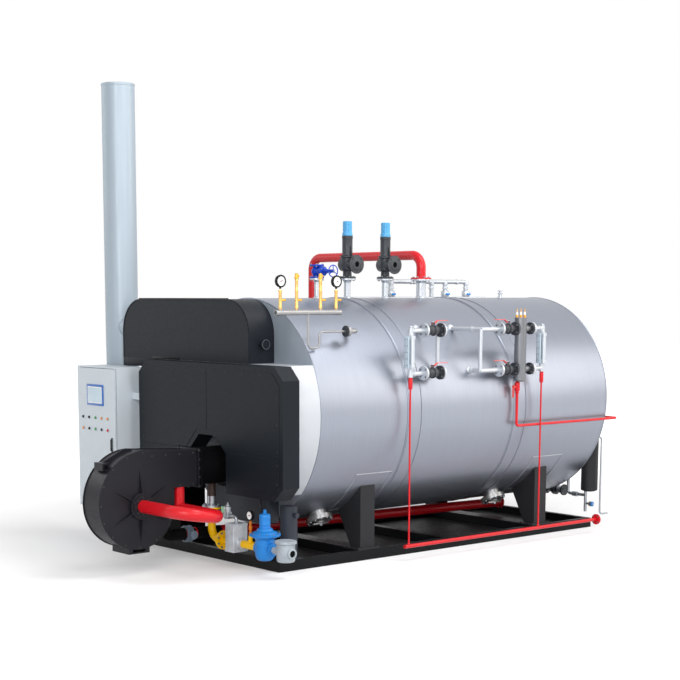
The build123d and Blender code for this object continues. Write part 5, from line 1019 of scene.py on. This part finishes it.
def gauge_parts(case, dial, marks, red, centre, out, radius, depth):
    """One round gauge: case with rim, dial, scale marks, pointer and red limit mark."""
    right = Z_AXIS.cross(out)
    half = depth / 2
    profile = [(-half, 0.8), (-half + 0.008, 0.94), (half - 0.012, 0.94), (half - 0.01, 1.0), (half, 0.97)]
    profile += [(half, 0.74), (half - 0.004, DIAL_SHARE)]
    case.turned(centre, out, [(place, radius * share) for place, share in profile], 48, 0.0015)
    face = centre + out * (half - 0.0045)
    dial.disc(face, out, radius * DIAL_SHARE, 0.002, cut=0.0003)
    front = face + out * 0.002

    def flat(piece, degrees, outline, proud, thickness):
        """A flat shape on the dial, drawn in shares of the radius and turned to an angle."""
        angle = math.radians(degrees)
        spoke = right * math.cos(angle) + Z_AXIS * math.sin(angle)
        drawn = [(u * radius, v * radius) for u, v in outline]
        piece.plate(drawn, front + out * proud, spoke.cross(out), spoke, thickness)

    for index in range(MARK_COUNT):
        length, width = SHORT_MARK if index % LONG_MARK_EVERY else LONG_MARK
        low = MARK_TOP - length
        outline = [(-width, low), (width, low), (width, MARK_TOP), (-width, MARK_TOP)]
        flat(marks, FIRST_MARK_ANGLE - index * MARK_ANGLE, outline, 0.0, 0.0006)
    flat(marks, POINTER_ANGLE, POINTER, 0.001, 0.001)
    marks.disc(front, out, radius * 0.09, 0.003, 20, 0.0005)
    flat(red, LIMIT_ANGLE, LIMIT_MARK, 0.0, 0.0008)


GAS_GAUGE_X = 0.7


def make_gauges():
    """The two gauges on the manifold, and the gas gauge on its orange stem."""
    case, dial, marks, red, stems = pieces(5)
    for y in (COCKS[0][0], COCKS[-1][0]):
        gauge_parts(case, dial, marks, red, manifold(y, 3.066), X_AXIS, 0.066, 0.042)
        case.rod(manifold(y, 2.988), manifold(y, 3.01), 0.012)
    gauge_parts(case, dial, marks, red, train(GAS_GAUGE_X, 0.6), -Y_AXIS, 0.058, 0.04)
    case.done("gauge_cases", "gauge_black", BLACK_PLASTIC, ["pressure_gauges"])
    dial.done("gauge_dials", "white_metal", WHITE_DIAL)
    marks.done("gauge_marks", "gauge_black", BLACK_PLASTIC)
    red.done("gauge_limits", "red_paint", RED)
    stems.rod(train(GAS_GAUGE_X, 0.38), train(GAS_GAUGE_X, 0.545), 0.012)
    stems.nut(train(GAS_GAUGE_X, 0.385), Z_AXIS, 0.02, 0.03)
    union = [(0, 0.014), (0.008, 0.019), (0.042, 0.019), (0.05, 0.014)]
    stems.turned(train(GAS_GAUGE_X, 0.44), Z_AXIS, union, 24)
    stems.done("gauge_stems", "yellow_paint", ORANGE)


MANIFOLD_ENDS = ((-2.642, -1), (-1.764, 1))
SIPHON_FLANGE_Y = -1.68
SIPHON_Z = 2.54


def make_manifold_detail():
    """Open end with a dark grey disc of painted shade in its bore, weld sockets and the siphon's flange
    and bolts of the gauge manifold.
    """
    steel, ends = pieces(2)
    for y, _ in COCKS:
        steel.turned(manifold(y, 2.762), Z_AXIS, [(0, 0.024), (0.012, 0.02)], 28)
    for y, way in MANIFOLD_ENDS:
        steel.disc(manifold(y - way * 0.02), Y_AXIS * way, 0.0305, 0.023, 36)
    flare = [(0, 0.03), (0.016, 0.058), (0.03, 0.058)]
    steel.turned(manifold(SIPHON_FLANGE_Y + 0.004, SIPHON_Z), Y_AXIS, flare, 36)
    steel.done("manifold_sockets", "white_metal", PIPE_STEEL)
    # A dark grey disc at the open end that stands in for the shade in its bore.
    ends.disc(manifold(MANIFOLD_ENDS[0][0]), -Y_AXIS, 0.02, 0.0045, 28, SHARP_CUT)
    flange = manifold(SIPHON_FLANGE_Y - 0.012, SIPHON_Z)
    ends.disc(flange, Y_AXIS, 0.06, 0.014, 36)
    ends.bolt_ring(flange, -Y_AXIS, 0.044, 4, 0.0075, 0.008)
    ends.done("manifold_ends", "gauge_black", VALVE_GREY)


# Crown fittings
SAFETY_Y = (-0.73, -0.134)
GLOBE_Y = -1.19
NOZZLE_TOP = 3.114
CROWN_Z = AXIS_Z + SHELL_R - 0.004
SAFETY_NOZZLE = (0.038, 0.1, 8, 0.011)
NOZZLES = (
    (SAFETY_Y[0], *SAFETY_NOZZLE),
    (SAFETY_Y[1], *SAFETY_NOZZLE),
    (0.455, 0.057, 0.124, 8, 0.012),
    (GLOBE_Y, 0.03, 0.082, 4, 0.01),
)
FLANGE_BOLT_SHARE = 0.8
VENT_Y = 1.85
VENT = [(0, 0.04), (0.014, 0.036), (0.02, 0.022), (0.05, 0.022), (0.05, 0.034), (0.064, 0.034)]
VENT += [(0.064, 0.018), (0.085, 0.018), (0.085, 0.03), (0.094, 0.03), (0.0975, 0.014)]


def crown(y, z, x=0.0):
    return Vector((x, y, z))


def make_nozzle_detail():
    """Weld collars and bolts of the nozzles on the crown."""
    collars, bolts = pieces(2)
    for y, pipe_r, flange_r, count, head in NOZZLES:
        foot = [(0, pipe_r + 0.016), (0.012, pipe_r + 0.008), (0.022, pipe_r)]
        neck = [(0, pipe_r), (0.03, pipe_r + 0.016), (0.034, pipe_r + 0.016)]
        collars.turned(crown(y, CROWN_Z), Z_AXIS, foot)
        collars.turned(crown(y, NOZZLE_TOP - 0.048), Z_AXIS, neck)
        ring_r = flange_r * FLANGE_BOLT_SHARE
        bolts.bolted_pair(crown(y, NOZZLE_TOP), Z_AXIS, FLANGE_T, ring_r, count, head)
    collars.turned(crown(VENT_Y, CROWN_Z), Z_AXIS, VENT, 36)
    collars.done("nozzle_collars", "white_metal", WHITE_METAL)
    bolts.done("nozzle_bolts", "white_metal", STEEL_BOLT)


SAFETY_BODY = [(0, 0.1), (0.02, 0.1), (0.02, 0.058), (0.03, 0.052), (0.082, 0.05), (0.094, 0.066)]
SAFETY_BODY += [(0.1, 0.072), (0.235, 0.072), (0.24, 0.084), (0.258, 0.084), (0.258, 0.066)]
SAFETY_BODY += [(0.268, 0.06), (0.45, 0.06), (0.456, 0.063), (0.486, 0.063)]
OUTLET = [(0.02, 0), (0.02, 0.06), (0.14, 0.056), (0.157, 0.06), (0.157, 0.108), (0.171, 0.108)]
OUTLET += [(0.171, 0.07), (0.175, 0.068), (0.175, 0.032), (0.15, 0.032), (0.15, 0.0)]
BACK_COVER = [(0.0, 0.078), (0.08, 0.078), (0.084, 0.07), (0.09, 0.068)]
OUTLET_Z = 3.274
CAP_Z = 3.6
CAP_PROFILE = [(0, 0.06), (0.034, 0.06), (0.038, 0.0505), (0.166, 0.0495)]
CAP_FLUTES = 14
FLUTE_RING_R = 0.0495


def make_safety_valves():
    """Two spring-loaded safety valves with their side outlets and fluted caps."""
    body, bolts, bore_shades, caps = pieces(4)
    for y in SAFETY_Y:
        outlet = crown(y, OUTLET_Z)
        body.turned(crown(y, NOZZLE_TOP), Z_AXIS, SAFETY_BODY, 48, SOFT_CUT)
        body.lathe(outlet, X_AXIS, soften(OUTLET, FINE_CUT), 48)
        body.turned(outlet, -X_AXIS, BACK_COVER, 40, SOFT_CUT)
        for side in SIDES:
            web = crown(y + side * 0.004, 3.38, 0.05)
            body.plate([(0.0, 0.0), (0.045, 0.0), (0.0, 0.16)], web, X_AXIS, Z_AXIS, 0.006, SHARP_CUT)
        bolts.bolt_ring(crown(y, 3.372), Z_AXIS, 0.075, 8, 0.008, 0.009)
        bolts.bolt_ring(crown(y, OUTLET_Z, 0.157), -X_AXIS, 0.084, 4, 0.011, 0.011)
        bolts.bolt_ring(crown(y, OUTLET_Z, 0.171), X_AXIS, 0.089, 4, 0.0105, 0.0035)
        # A black disc in each outlet that stands in for the shade of its bore.
        bore_shades.disc(crown(y, OUTLET_Z, 0.1505), X_AXIS, 0.0315, 0.002, cut=0.0005)
        caps.turned(crown(y, CAP_Z), Z_AXIS, CAP_PROFILE, 48, SOFT_CUT)
        for angle in around(CAP_FLUTES):
            x, shift = FLUTE_RING_R * math.cos(angle), FLUTE_RING_R * math.sin(angle)
            caps.rod(crown(y + shift, 3.636, x), crown(y + shift, 3.762, x), 0.0035, 10, SHARP_CUT)
    body.done("safety_valve_bodies", "valve_grey", VALVE_GREY, ["safety_valves"])
    bolts.done("safety_valve_bolts", "valve_grey", DARK_BOLT)
    bore_shades.done("safety_valve_bore_shade", "gauge_black", SHADE_BLACK)
    caps.done("safety_caps", "cap_blue_paint", CAP_BLUE, ["safety_valve_caps"])


GLOBE_BODY = [(0, 0.082), (0.018, 0.082), (0.018, 0.045), (0.03, 0.044), (0.05, 0.058), (0.077, 0.066)]
GLOBE_BODY += [(0.104, 0.058), (0.124, 0.044), (0.136, 0.045), (0.136, 0.082), (0.154, 0.082)]
GLOBE_BONNET = [(0.0, 0.05), (0.07, 0.05), (0.085, 0.058), (0.1, 0.058), (0.1, 0.055), (0.103, 0.055)]
GLOBE_BONNET += [(0.103, 0.058), (0.118, 0.058), (0.12, 0.036), (0.15, 0.024), (0.16, 0.022)]
GLOBE_BONNET += [(0.16, 0.028), (0.175, 0.028), (0.175, 0.018), (0.185, 0.018)]
YOKE = ((0.112, 0.03), (0.2, 0.034), (0.24, 0.012))
GLOBE_FLANGE_FACES = ((3.268, 1), (3.25, -1))


def make_globe_valve():
    """The blue globe valve: round body, bolted bonnet, yoke and stem."""
    body, bolts = pieces(2)
    centre = crown(GLOBE_Y, 3.191)
    body.turned(crown(GLOBE_Y, NOZZLE_TOP), Z_AXIS, GLOBE_BODY, 48, SOFT_CUT)
    body.turned(centre, X_AXIS, GLOBE_BONNET)
    for side in SIDES:
        body.tube([centre + Vector((x, side * shift, 0)) for x, shift in YOKE], 0.008, 0.03, 12)
    body.turned(centre + X_AXIS * 0.236, X_AXIS, [(0, 0.022), (0.024, 0.018)], 24)
    body.done("globe_valve_body", "valve_blue_paint", VALVE_BLUE, ["globe_valve"])
    bolts.bolt_ring(centre + X_AXIS * 0.118, X_AXIS, 0.047, 6, 0.0065, 0.007)
    bolts.disc(centre + X_AXIS * 0.15, X_AXIS, 0.0098, 0.153, 24)
    for z, way in GLOBE_FLANGE_FACES:
        bolts.bolt_ring(crown(GLOBE_Y, z), Z_AXIS * way, 0.066, 4, 0.01, 0.01)
    bolts.done("globe_valve_stem", "white_metal", STEEL_BOLT)


FEED_X = -0.45
FEED_Z = 2.935
FEED_VALVES_Y = (0.378, 1.311, 1.685)
FEED_UNIONS_Y = (0.378, 1.07, 1.311, 1.685)
FEED_NUTS_Y = (0.7, 0.75, 1.5)
FEED_BODY = [(0, 0.034), (0.012, 0.044), (0.02, 0.05), (0.08, 0.05), (0.088, 0.044), (0.1, 0.034)]


def feed(y, z=FEED_Z):
    return Vector((FEED_X, y, z))


def make_feed_detail():
    """Round valve bodies, handles and unions on the feed pipes."""
    steel, blue = pieces(2)
    for y in FEED_VALVES_Y:
        steel.turned(feed(y, FEED_Z - 0.05), Z_AXIS, FEED_BODY, 32, SOFT_CUT)
        steel.rod(feed(y), feed(y) + X_AXIS * 0.075, 0.016)
        near = (FEED_X + 0.07, y - 0.05, FEED_Z - 0.011)
        blue.block(near, (FEED_X + 0.08, y + 0.012, FEED_Z + 0.011), SOFT_CUT)
    for y in FEED_UNIONS_Y:
        steel.nut(feed(y, 3.0), Z_AXIS, 0.036, 0.026, cut=SOFT_CUT)
        steel.turned(feed(y, 3.045), Z_AXIS, [(0, 0.032), (0.03, 0.034), (0.06, 0.03)], 28, SOFT_CUT)
    for y in FEED_NUTS_Y:
        steel.nut(feed(y, 3.09), Y_AXIS, 0.034, 0.03, cut=SOFT_CUT)
    steel.done("feed_valve_bodies", "white_metal", WHITE_METAL)
    blue.done("feed_valve_handles", "blue_paint", BLUE)


# Level instruments on the right side
LEVEL_X = 1.34
LEVELS = (2.073, 2.54)
FRONT_VALVE_Y, REAR_VALVE_Y = -0.645, 0.56
GAUGES_Y = (-0.98, 1.15)
BRANCHES_Y = (-0.45, 0.11)
LEVEL_FLANGE_R = 0.0775
BALL_VALVE = [(-0.124, 0.072), (-0.104, 0.072), (-0.104, 0.036), (-0.075, 0.034), (-0.062, 0.046)]
BALL_VALVE += [(-0.05, 0.05), (-0.006, 0.05), (-0.006, 0.062), (0.01, 0.062), (0.01, 0.05)]
BALL_VALVE += [(0.05, 0.05), (0.062, 0.044), (0.075, 0.034), (0.104, 0.036)]
BALL_VALVE += [(0.104, LEVEL_FLANGE_R), (0.126, LEVEL_FLANGE_R)]
STEM_SEAT = [(0.03, 0.03), (0.052, 0.03), (0.052, 0.02), (0.066, 0.02)]


def level(y, z):
    return Vector((LEVEL_X, y, z))


def make_level_valves():
    """Flanged ball valves with bodies, bonnets and bolts."""
    body, bolts, steel = pieces(3)
    for z in LEVELS:
        for y in (FRONT_VALVE_Y, REAR_VALVE_Y):
            start = level(y, z)
            body.turned(start, Y_AXIS, BALL_VALVE, 44)
            body.turned(start, Z_AXIS, STEM_SEAT, 28)
            for place, way, ring_r, count, radius, height in (
                (0.01, 1, 0.055, 6, 0.006, 0.007),
                (-0.104, 1, 0.056, 4, 0.009, 0.01),
                (0.104, -1, 0.06, 4, 0.009, 0.01),
                (-0.146, -1, 0.058, 4, 0.01, 0.009),
            ):
                bolts.bolt_ring(start + Y_AXIS * place, Y_AXIS * way, ring_r, count, radius, height)
            if y == REAR_VALVE_Y:
                steel.turned(start + Y_AXIS * 0.126, Y_AXIS, [(0, 0.05), (0.026, 0.03)], 6)
            else:
                outer = start + Y_AXIS * 0.1465
                steel.disc(start + Y_AXIS * 0.1265, Y_AXIS, LEVEL_FLANGE_R, 0.02)
                steel.bolt_ring(outer, Y_AXIS, 0.06, 4, 0.009, 0.009)
                steel.turned(outer, Y_AXIS, [(0, 0.04), (0.012, 0.036), (0.02, 0.03)], 32)
            steel.rod(start + Z_AXIS * 0.05, start + Z_AXIS * 0.088, 0.0088, 16)
            steel.nut(start + Z_AXIS * 0.0865, Z_AXIS, 0.013, 0.0075, cut=SHARP_CUT)
    body.done("level_valve_bodies", "valve_grey", VALVE_GREY, ["level_ball_valves"])
    bolts.done("level_valve_bolts", "white_metal", STEEL_BOLT)
    steel.done("level_valve_flanges", "white_metal", WHITE_METAL)


GLASS_LOW_Z = 2.13
GLASS_TOP_Z = 2.482
TIE_BOLTS = 5
TIE_INSET = 0.035


def make_level_gauges():
    """Level gauges: a white tube between two plates, with tie bolts and end blocks."""
    plates, tubes, bolts = pieces(3)
    tie_span = GLASS_TOP_Z - GLASS_LOW_Z - 2 * TIE_INSET
    for y in GAUGES_Y:
        for shift in (-0.038, 0.038):
            near = (LEVEL_X - 0.05, y + shift - 0.011, GLASS_LOW_Z)
            plates.block(near, (LEVEL_X + 0.012, y + shift + 0.011, GLASS_TOP_Z), SOFT_CUT)
        x = LEVEL_X + 0.028
        tubes.rod((x, y, GLASS_LOW_Z - 0.004), (x, y, GLASS_TOP_Z + 0.004), 0.024)
        for z in (GLASS_LOW_Z, GLASS_TOP_Z - 0.04):
            tubes.block((LEVEL_X - 0.04, y - 0.03, z), (LEVEL_X + 0.045, y + 0.03, z + 0.04), 0.006)
        for step in range(TIE_BOLTS):
            z = GLASS_LOW_Z + TIE_INSET + step * tie_span / (TIE_BOLTS - 1)
            for side in SIDES:
                for back in (0.002, 0.036):
                    bolts.hexagon((LEVEL_X - back, y + side * 0.049, z), Y_AXIS * side, 0.005, 0.005)
    plates.done("level_gauge_plates", "cabinet_paint", GAUGE_PLATE, ["level_gauges"])
    tubes.done("level_gauge_tubes", "white_metal", WHITE_METAL)
    bolts.done("level_gauge_bolts", "white_metal", STEEL_BOLT)


def make_level_fittings():
    """Unions, elbows and weld collars along the level pipes."""
    fittings = Piece()
    for z in LEVELS:
        for y in GAUGES_Y:
            way = -math.copysign(1, y)
            fittings.disc(level(y + way * 0.035, z), Y_AXIS * way, 0.031, 0.024, 28, SOFT_CUT)
        for y in BRANCHES_Y:
            reach = math.sqrt(SHELL_R**2 - (z - AXIS_Z) ** 2)
            fittings.turned((reach - 0.02, y, z), X_AXIS, [(0, 0.05), (0.025, 0.042), (0.035, 0.026)], 32)
            fittings.disc((1.19, y, z), X_AXIS, 0.03, 0.03, 28)
    for y in GAUGES_Y:
        fittings.nut(level(y, 2.569), Z_AXIS, 0.022, 0.02, cut=SOFT_CUT)
        for z in (2.108, 2.486):
            fittings.nut(level(y, z), Z_AXIS, 0.034, 0.02, 8)
    fittings.done("level_fittings", "white_metal", WHITE_METAL)


COLUMN_Y = 0.772
COLUMN_LOW_Z = 1.937
COLUMN_TOP_Z = 2.667
COLUMN_R = 0.0695
COLUMN_FOOT = [(-0.012, 0.03), (-0.008, 0.055), (0.002, 0.066), (0.01, COLUMN_R)]
NECK_Y = (0.686, 0.925)
ELECTRODE_SHIFTS = (-0.045, 0, 0.045)
ELECTRODE_LINE = (0.6, 0.8)


def make_electrodes():
    """The electrode column: its body, necks, flanges and three electrodes."""
    column, near, far, bolts, white, brass = pieces(6)
    profile = COLUMN_FOOT + [(COLUMN_TOP_Z - COLUMN_LOW_Z, COLUMN_R)]
    column.turned(level(COLUMN_Y, COLUMN_LOW_Z), Z_AXIS, profile, 56)
    for z in LEVELS:
        column.rod(level(NECK_Y[0], z), level(NECK_Y[1], z), 0.034)
        near.disc(level(NECK_Y[1], z), Y_AXIS, 0.0705, 0.026, 44)
        far.disc(level(0.9512, z), Y_AXIS, 0.0705, 0.0288, 44)
        bolts.bolted_pair(level(0.9525, z), Y_AXIS, 0.0275, 0.052, 4, 0.009)
    column.done("electrode_column_body", "valve_grey", COLUMN_STEEL, ["electrode_column"])
    near.done("electrode_near_flanges", "valve_grey", VALVE_GREY)
    far.done("electrode_far_flanges", "white_metal", WHITE_METAL)
    bolts.done("electrode_flange_bolts", "white_metal", STEEL_BOLT)
    across, along = ELECTRODE_LINE
    for shift in ELECTRODE_SHIFTS:
        foot = level(COLUMN_Y + along * shift, COLUMN_TOP_Z - 0.001) + X_AXIS * across * shift
        brass.nut(foot, Z_AXIS, 0.0165, 0.03, cut=SHARP_CUT)
        insulator = [(0, 0.0135), (0.018, 0.0125), (0.036, 0.0085)]
        white.turned(foot + Z_AXIS * 0.03, Z_AXIS, insulator, 20, SHARP_CUT)
        brass.rod(foot + Z_AXIS * 0.066, foot + Z_AXIS * 0.1, 0.0055, 14, SHARP_CUT)
    white.done("electrode_insulators", "white_metal", WHITE_DIAL)
    brass.done("electrode_tips", "brass", BRASS)


HUB = [(0.0, 0.0096), (0.0, 0.0225), (0.0145, 0.0225), (0.0145, 0.0096)]


def make_lever_hubs():
    """The dark hub caps of the level valves' levers."""
    for end, y in (("front", FRONT_VALVE_Y), ("rear", REAR_VALVE_Y)):
        for height in ("upper", "lower"):
            lever = f"lever_{height}_{end}"
            hub = Piece()
            foot = level(y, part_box(lever)[0].z + 0.001)
            hub.lathe(foot, Z_AXIS, soften(HUB, SHARP_CUT), 28)
            hub.done(lever + "_hub", "valve_grey", DARK_BOLT, body=lever)


DRAIN_X = 1.306


def make_drain_detail():
    """Valves, clamps and flange bolts along the red drains."""
    red, bolts = pieces(2)
    body = [(0, 0.024), (0.012, 0.031), (0.1, 0.031), (0.112, 0.024)]
    red.turned((DRAIN_X, COLUMN_Y, 1.81), Z_AXIS, body, 28)
    for z in (1.786, 1.918):
        red.nut((DRAIN_X, COLUMN_Y, z), Z_AXIS, 0.024, 0.02)
    for y in GAUGES_Y:
        red.turned(level(y, 1.91), Z_AXIS, [(0, 0.016), (0.012, 0.024), (0.1, 0.024), (0.112, 0.016)], 24)
        red.turned(level(y, 0.187), Z_AXIS, [(0, 0.017), (0.02, 0.013)], 20)
    red.done("drain_fittings", "red_paint", RED)
    bolts.bolt_ring(level(2.215, 0.166), -Y_AXIS, 0.048, 4, 0.008, 0.008)
    bolts.done("drain_bolts", "white_metal", STEEL_BOLT)


# Handholes, skid and rear end
HAND_ANGLE = math.radians(26.5)
HAND_Y = (-1.65, 1.15)
HAND_REACH = 0.105
HAND_COVER = [(0, 0.151), (0.026, 0.151), (0.03, 0.12), (0.036, 0.1), (0.036, 0.05), (0.05, 0.045)]


def make_handholes():
    """The handholes' covers: stepped cover, crossbar, clamp nuts and rim bolts."""
    out = Vector((math.sin(HAND_ANGLE), 0, -math.cos(HAND_ANGLE)))
    turn = out.to_track_quat("Z", "Y").to_matrix().to_4x4()
    cover, bolts = pieces(2)
    for y in HAND_Y:
        base = Vector((0, y, AXIS_Z)) + out * (SHELL_R + HAND_REACH)
        cover.turned(base - out * 0.025, out, HAND_COVER, 56, SOFT_CUT)
        cover.disc(base - out * 0.05, out, 0.151, 0.022, 56, SOFT_CUT)
        bolts.bolt_ring(base, out, 0.134, 12, 0.011, 0.014)
        bar = Matrix.Translation(base + out * 0.02) @ turn
        cover.block((-0.11, -0.014, 0), (0.11, 0.014, 0.02), 0.004, 2, bar)
        bolts.hexagon(base + out * 0.04, out, 0.018, 0.018)
    cover.done("handhole_covers", "white_metal", PIPE_STEEL)
    bolts.done("handhole_bolts", "white_metal", STEEL_BOLT)


FOOT_BOLT_X = (0.775, 0.965)
FOOT_BOLT_Y = (0.03, 0.302)
UPRIGHT_SPOT = (0.885, -2.325)


def make_skid_detail():
    """Foot bolts of the saddle legs and of the upright pipe."""
    bolts = Piece()
    low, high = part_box("saddle_legs")
    for low_y in (low.y, high.y - 2 * LEG_HALF):
        for side in SIDES:
            for x in FOOT_BOLT_X:
                for y in FOOT_BOLT_Y:
                    bolts.hexagon((side * x, low_y + y, 0.132), Z_AXIS, 0.014, 0.013)
    x, y = UPRIGHT_SPOT
    for across in (-0.085, 0.085):
        for along in (-0.085, 0.085):
            bolts.hexagon((x + across, y + along, 0.128), Z_AXIS, 0.009, 0.009)
    bolts.done("skid_bolts", "skid_paint", DARK_BOLT)


TANK_X = 0.905
REAR_Y = 2.6
REAR_PIPE_Z = 0.42
REAR_FLANGES_X = (0.19, 0.325, 0.345, 0.48)
REAR_FLANGE_T = 0.02
BLOWDOWN_X = (0.229, 0.384)


def rear(x, z=REAR_PIPE_Z):
    return Vector((x, REAR_Y, z))


def make_rear_detail():
    """Bolts and bodies of the rear valves, the under pipe's bolts and the tank's ends."""
    bolts, bodies, handle, caps = pieces(4)
    for x in REAR_FLANGES_X:
        bolts.bolt_ring(rear(x), -X_AXIS, 0.056, 4, 0.008, 0.008)
        bolts.bolt_ring(rear(x + REAR_FLANGE_T), X_AXIS, 0.056, 4, 0.008, 0.008)
    pipe_end = (RETURN_X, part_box("return_under_pipe")[1].y, 0.2325)
    bolts.bolt_ring(pipe_end, Y_AXIS, 0.064, 6, 0.008, 0.008)
    bolts.done("rear_bolts", "white_metal", STEEL_BOLT)
    for x in BLOWDOWN_X:
        bodies.turned(rear(x), X_AXIS, [(0, 0.036), (0.01, 0.048), (0.067, 0.048), (0.077, 0.036)], 36)
    bodies.done("blowdown_bodies", "white_metal", SILVER)
    handle.disc(rear(0.9605, 0.283), X_AXIS, 0.03, 0.012, 28, SOFT_CUT)
    handle.done("rear_valve_handle", "blue_paint", BLUE)
    lid = [(0, 0.106), (0.006, 0.1), (0.016, 0.07), (0.02, 0.03)]
    foot = [(0, 0.106), (0.012, 0.1), (0.024, 0.07), (0.03, 0.03)]
    caps.turned(rear(TANK_X, 1.25), Z_AXIS, lid, 48, SOFT_CUT)
    caps.turned(rear(TANK_X, 0.47), -Z_AXIS, foot, 48, SOFT_CUT)
    caps.done("rear_tank_ends", "black_paint", LEG_GREY)


# Stage
FLOOR_HALF = 60
FLOOR_GREY = (0.8, 0.8, 0.8, 1)
FLOOR_ROUGHNESS = 0.9
WHITE = (1, 1, 1, 1)
FLOOR_GLOW = (0.2, 1.0)
GLOW_REACH = (2.5, 12.0)
WORLD_LEVEL = 0.35


def either(nodes, links, first, second):
    """The larger of two values."""
    larger = nodes.new("ShaderNodeMath")
    larger.operation = "MAXIMUM"
    links.new(first, larger.inputs[0])
    links.new(second, larger.inputs[1])
    return larger.outputs[0]


def add_seen_strength(nodes, links, socket, unseen, seen):
    """One strength for rays from the camera, mirrors and glass, another for the rest."""
    rays = nodes.new("ShaderNodeLightPath").outputs
    direct = either(nodes, links, rays["Is Camera Ray"], rays["Is Glossy Ray"])
    spread = nodes.new("ShaderNodeMapRange")
    spread.inputs["To Min"].default_value = unseen
    spread.inputs["To Max"].default_value = seen
    links.new(either(nodes, links, direct, rays["Is Transmission Ray"]), spread.inputs["Value"])
    links.new(spread.outputs["Result"], socket)
    return spread.inputs["To Max"]


def far_glow(nodes, links):
    """A strength that rises with the distance from the object, so that the floor meets the white."""
    place = nodes.new("ShaderNodeTexCoord")
    length = nodes.new("ShaderNodeVectorMath")
    length.operation = "LENGTH"
    links.new(place.outputs["Object"], length.inputs[0])
    spread = nodes.new("ShaderNodeMapRange")
    spread.interpolation_type = "SMOOTHSTEP"
    spread.inputs["From Min"].default_value, spread.inputs["From Max"].default_value = GLOW_REACH
    spread.inputs["To Min"].default_value, spread.inputs["To Max"].default_value = FLOOR_GLOW
    links.new(length.outputs["Value"], spread.inputs["Value"])
    return spread.outputs["Result"]


def make_floor():
    """A plain pale floor that keeps the object's shadow."""
    mesh = bpy.data.meshes.new("floor")
    corners = [(x * FLOOR_HALF, y * FLOOR_HALF, 0) for x, y in ((-1, -1), (1, -1), (1, 1), (-1, 1))]
    mesh.from_pydata(corners, [], [range(len(corners))])
    floor = bpy.data.objects.new("floor", mesh)
    bpy.context.scene.collection.objects.link(floor)
    material = bpy.data.materials.new("floor")
    material.use_nodes = True
    nodes, links = material.node_tree.nodes, material.node_tree.links
    inputs = nodes["Principled BSDF"].inputs
    inputs["Base Color"].default_value = FLOOR_GREY
    inputs["Roughness"].default_value = FLOOR_ROUGHNESS
    inputs["Specular IOR Level"].default_value = 0.0
    inputs["Emission Color"].default_value = WHITE
    glow = add_seen_strength(nodes, links, inputs["Emission Strength"], 0.0, FLOOR_GLOW[0])
    links.new(far_glow(nodes, links), glow)
    mesh.materials.append(material)


def make_surround():
    """A white surround for the camera, which lights the object less."""
    world = bpy.data.worlds.new("surround")
    bpy.context.scene.world = world
    world.use_nodes = True
    nodes, links = world.node_tree.nodes, world.node_tree.links
    inputs = nodes["Background"].inputs
    inputs["Color"].default_value = WHITE
    add_seen_strength(nodes, links, inputs["Strength"], WORLD_LEVEL, 1.0)


LAMP_WHITE = (1, 1, 1)
WARM_WHITE = (1.0, 0.95, 0.87)
LAMPS = (
    ("key", (5, 1.5, 11), (0, 0, 1.5), 7, 650, LAMP_WHITE),
    ("front", (8, -12, 6), (0, -2, 1.5), 8, 820, LAMP_WHITE),
    ("right", (12.5, -3, 7), (0, 0, 1.5), 6, 520, LAMP_WHITE),
    ("left", (-11, -7, 7), (-1, -1, 1.5), 7, 200, LAMP_WHITE),
    ("rear", (9, 8.5, 6.5), (0.8, 0, 1.9), 9, 520, WARM_WHITE),
)


def make_lights():
    """Round lamps, each at its spot and turned towards its target."""
    for name, spot, target, size, power, colour in LAMPS:
        data = bpy.data.lights.new(name, "AREA")
        data.shape = "DISK"
        data.size = size
        data.energy = power
        data.color = colour
        lamp = bpy.data.objects.new(name, data)
        bpy.context.scene.collection.objects.link(lamp)
        lamp.location = spot
        lamp.rotation_euler = (Vector(target) - Vector(spot)).to_track_quat("-Z", "Y").to_euler()


CAMERA_SPOT = (13.329, -12.399, 2.925)
CAMERA_YAW = math.radians(50.42)
CAMERA_PITCH = math.radians(8.38)
IMAGE_SIZE = 680
FOCAL_PIXELS = 1508.7
CENTRE_PIXEL = (304.0, 517.2)
SENSOR = 36.0


def make_camera():
    data = bpy.data.cameras.new("camera")
    data.sensor_fit = "HORIZONTAL"
    data.sensor_width = SENSOR
    data.lens = FOCAL_PIXELS / IMAGE_SIZE * SENSOR
    data.shift_x = 0.5 - CENTRE_PIXEL[0] / IMAGE_SIZE
    data.shift_y = CENTRE_PIXEL[1] / IMAGE_SIZE - 0.5
    camera = bpy.data.objects.new("camera", data)
    bpy.context.scene.collection.objects.link(camera)
    camera.location = CAMERA_SPOT
    camera.rotation_euler = (math.pi / 2 - CAMERA_PITCH, 0, CAMERA_YAW)
    bpy.context.scene.camera = camera


bpy.context.scene.view_settings.view_transform = "Standard"
dress_cad_nodes()
make_camera()
make_shell_seams()
make_saddle_patches()
make_hood_panels()
make_hood_screws()
make_flue_box_trim()
make_chimney_detail()
make_cabinet_front()
make_burner_ribs()
make_burner_bolts()
make_burner_motor()
make_gas_train_bolts()
make_valve_block()
make_pilot_valve()
make_regulator()
make_gas_filter()
make_damper()
make_shade_sleeves()
make_cocks()
make_gauges()
make_manifold_detail()
make_nozzle_detail()
make_safety_valves()
make_globe_valve()
make_feed_detail()
make_level_valves()
make_level_gauges()
make_level_fittings()
make_electrodes()
make_lever_hubs()
make_drain_detail()
make_handholes()
make_skid_detail()
make_rear_detail()
make_floor()
make_surround()
make_lights()
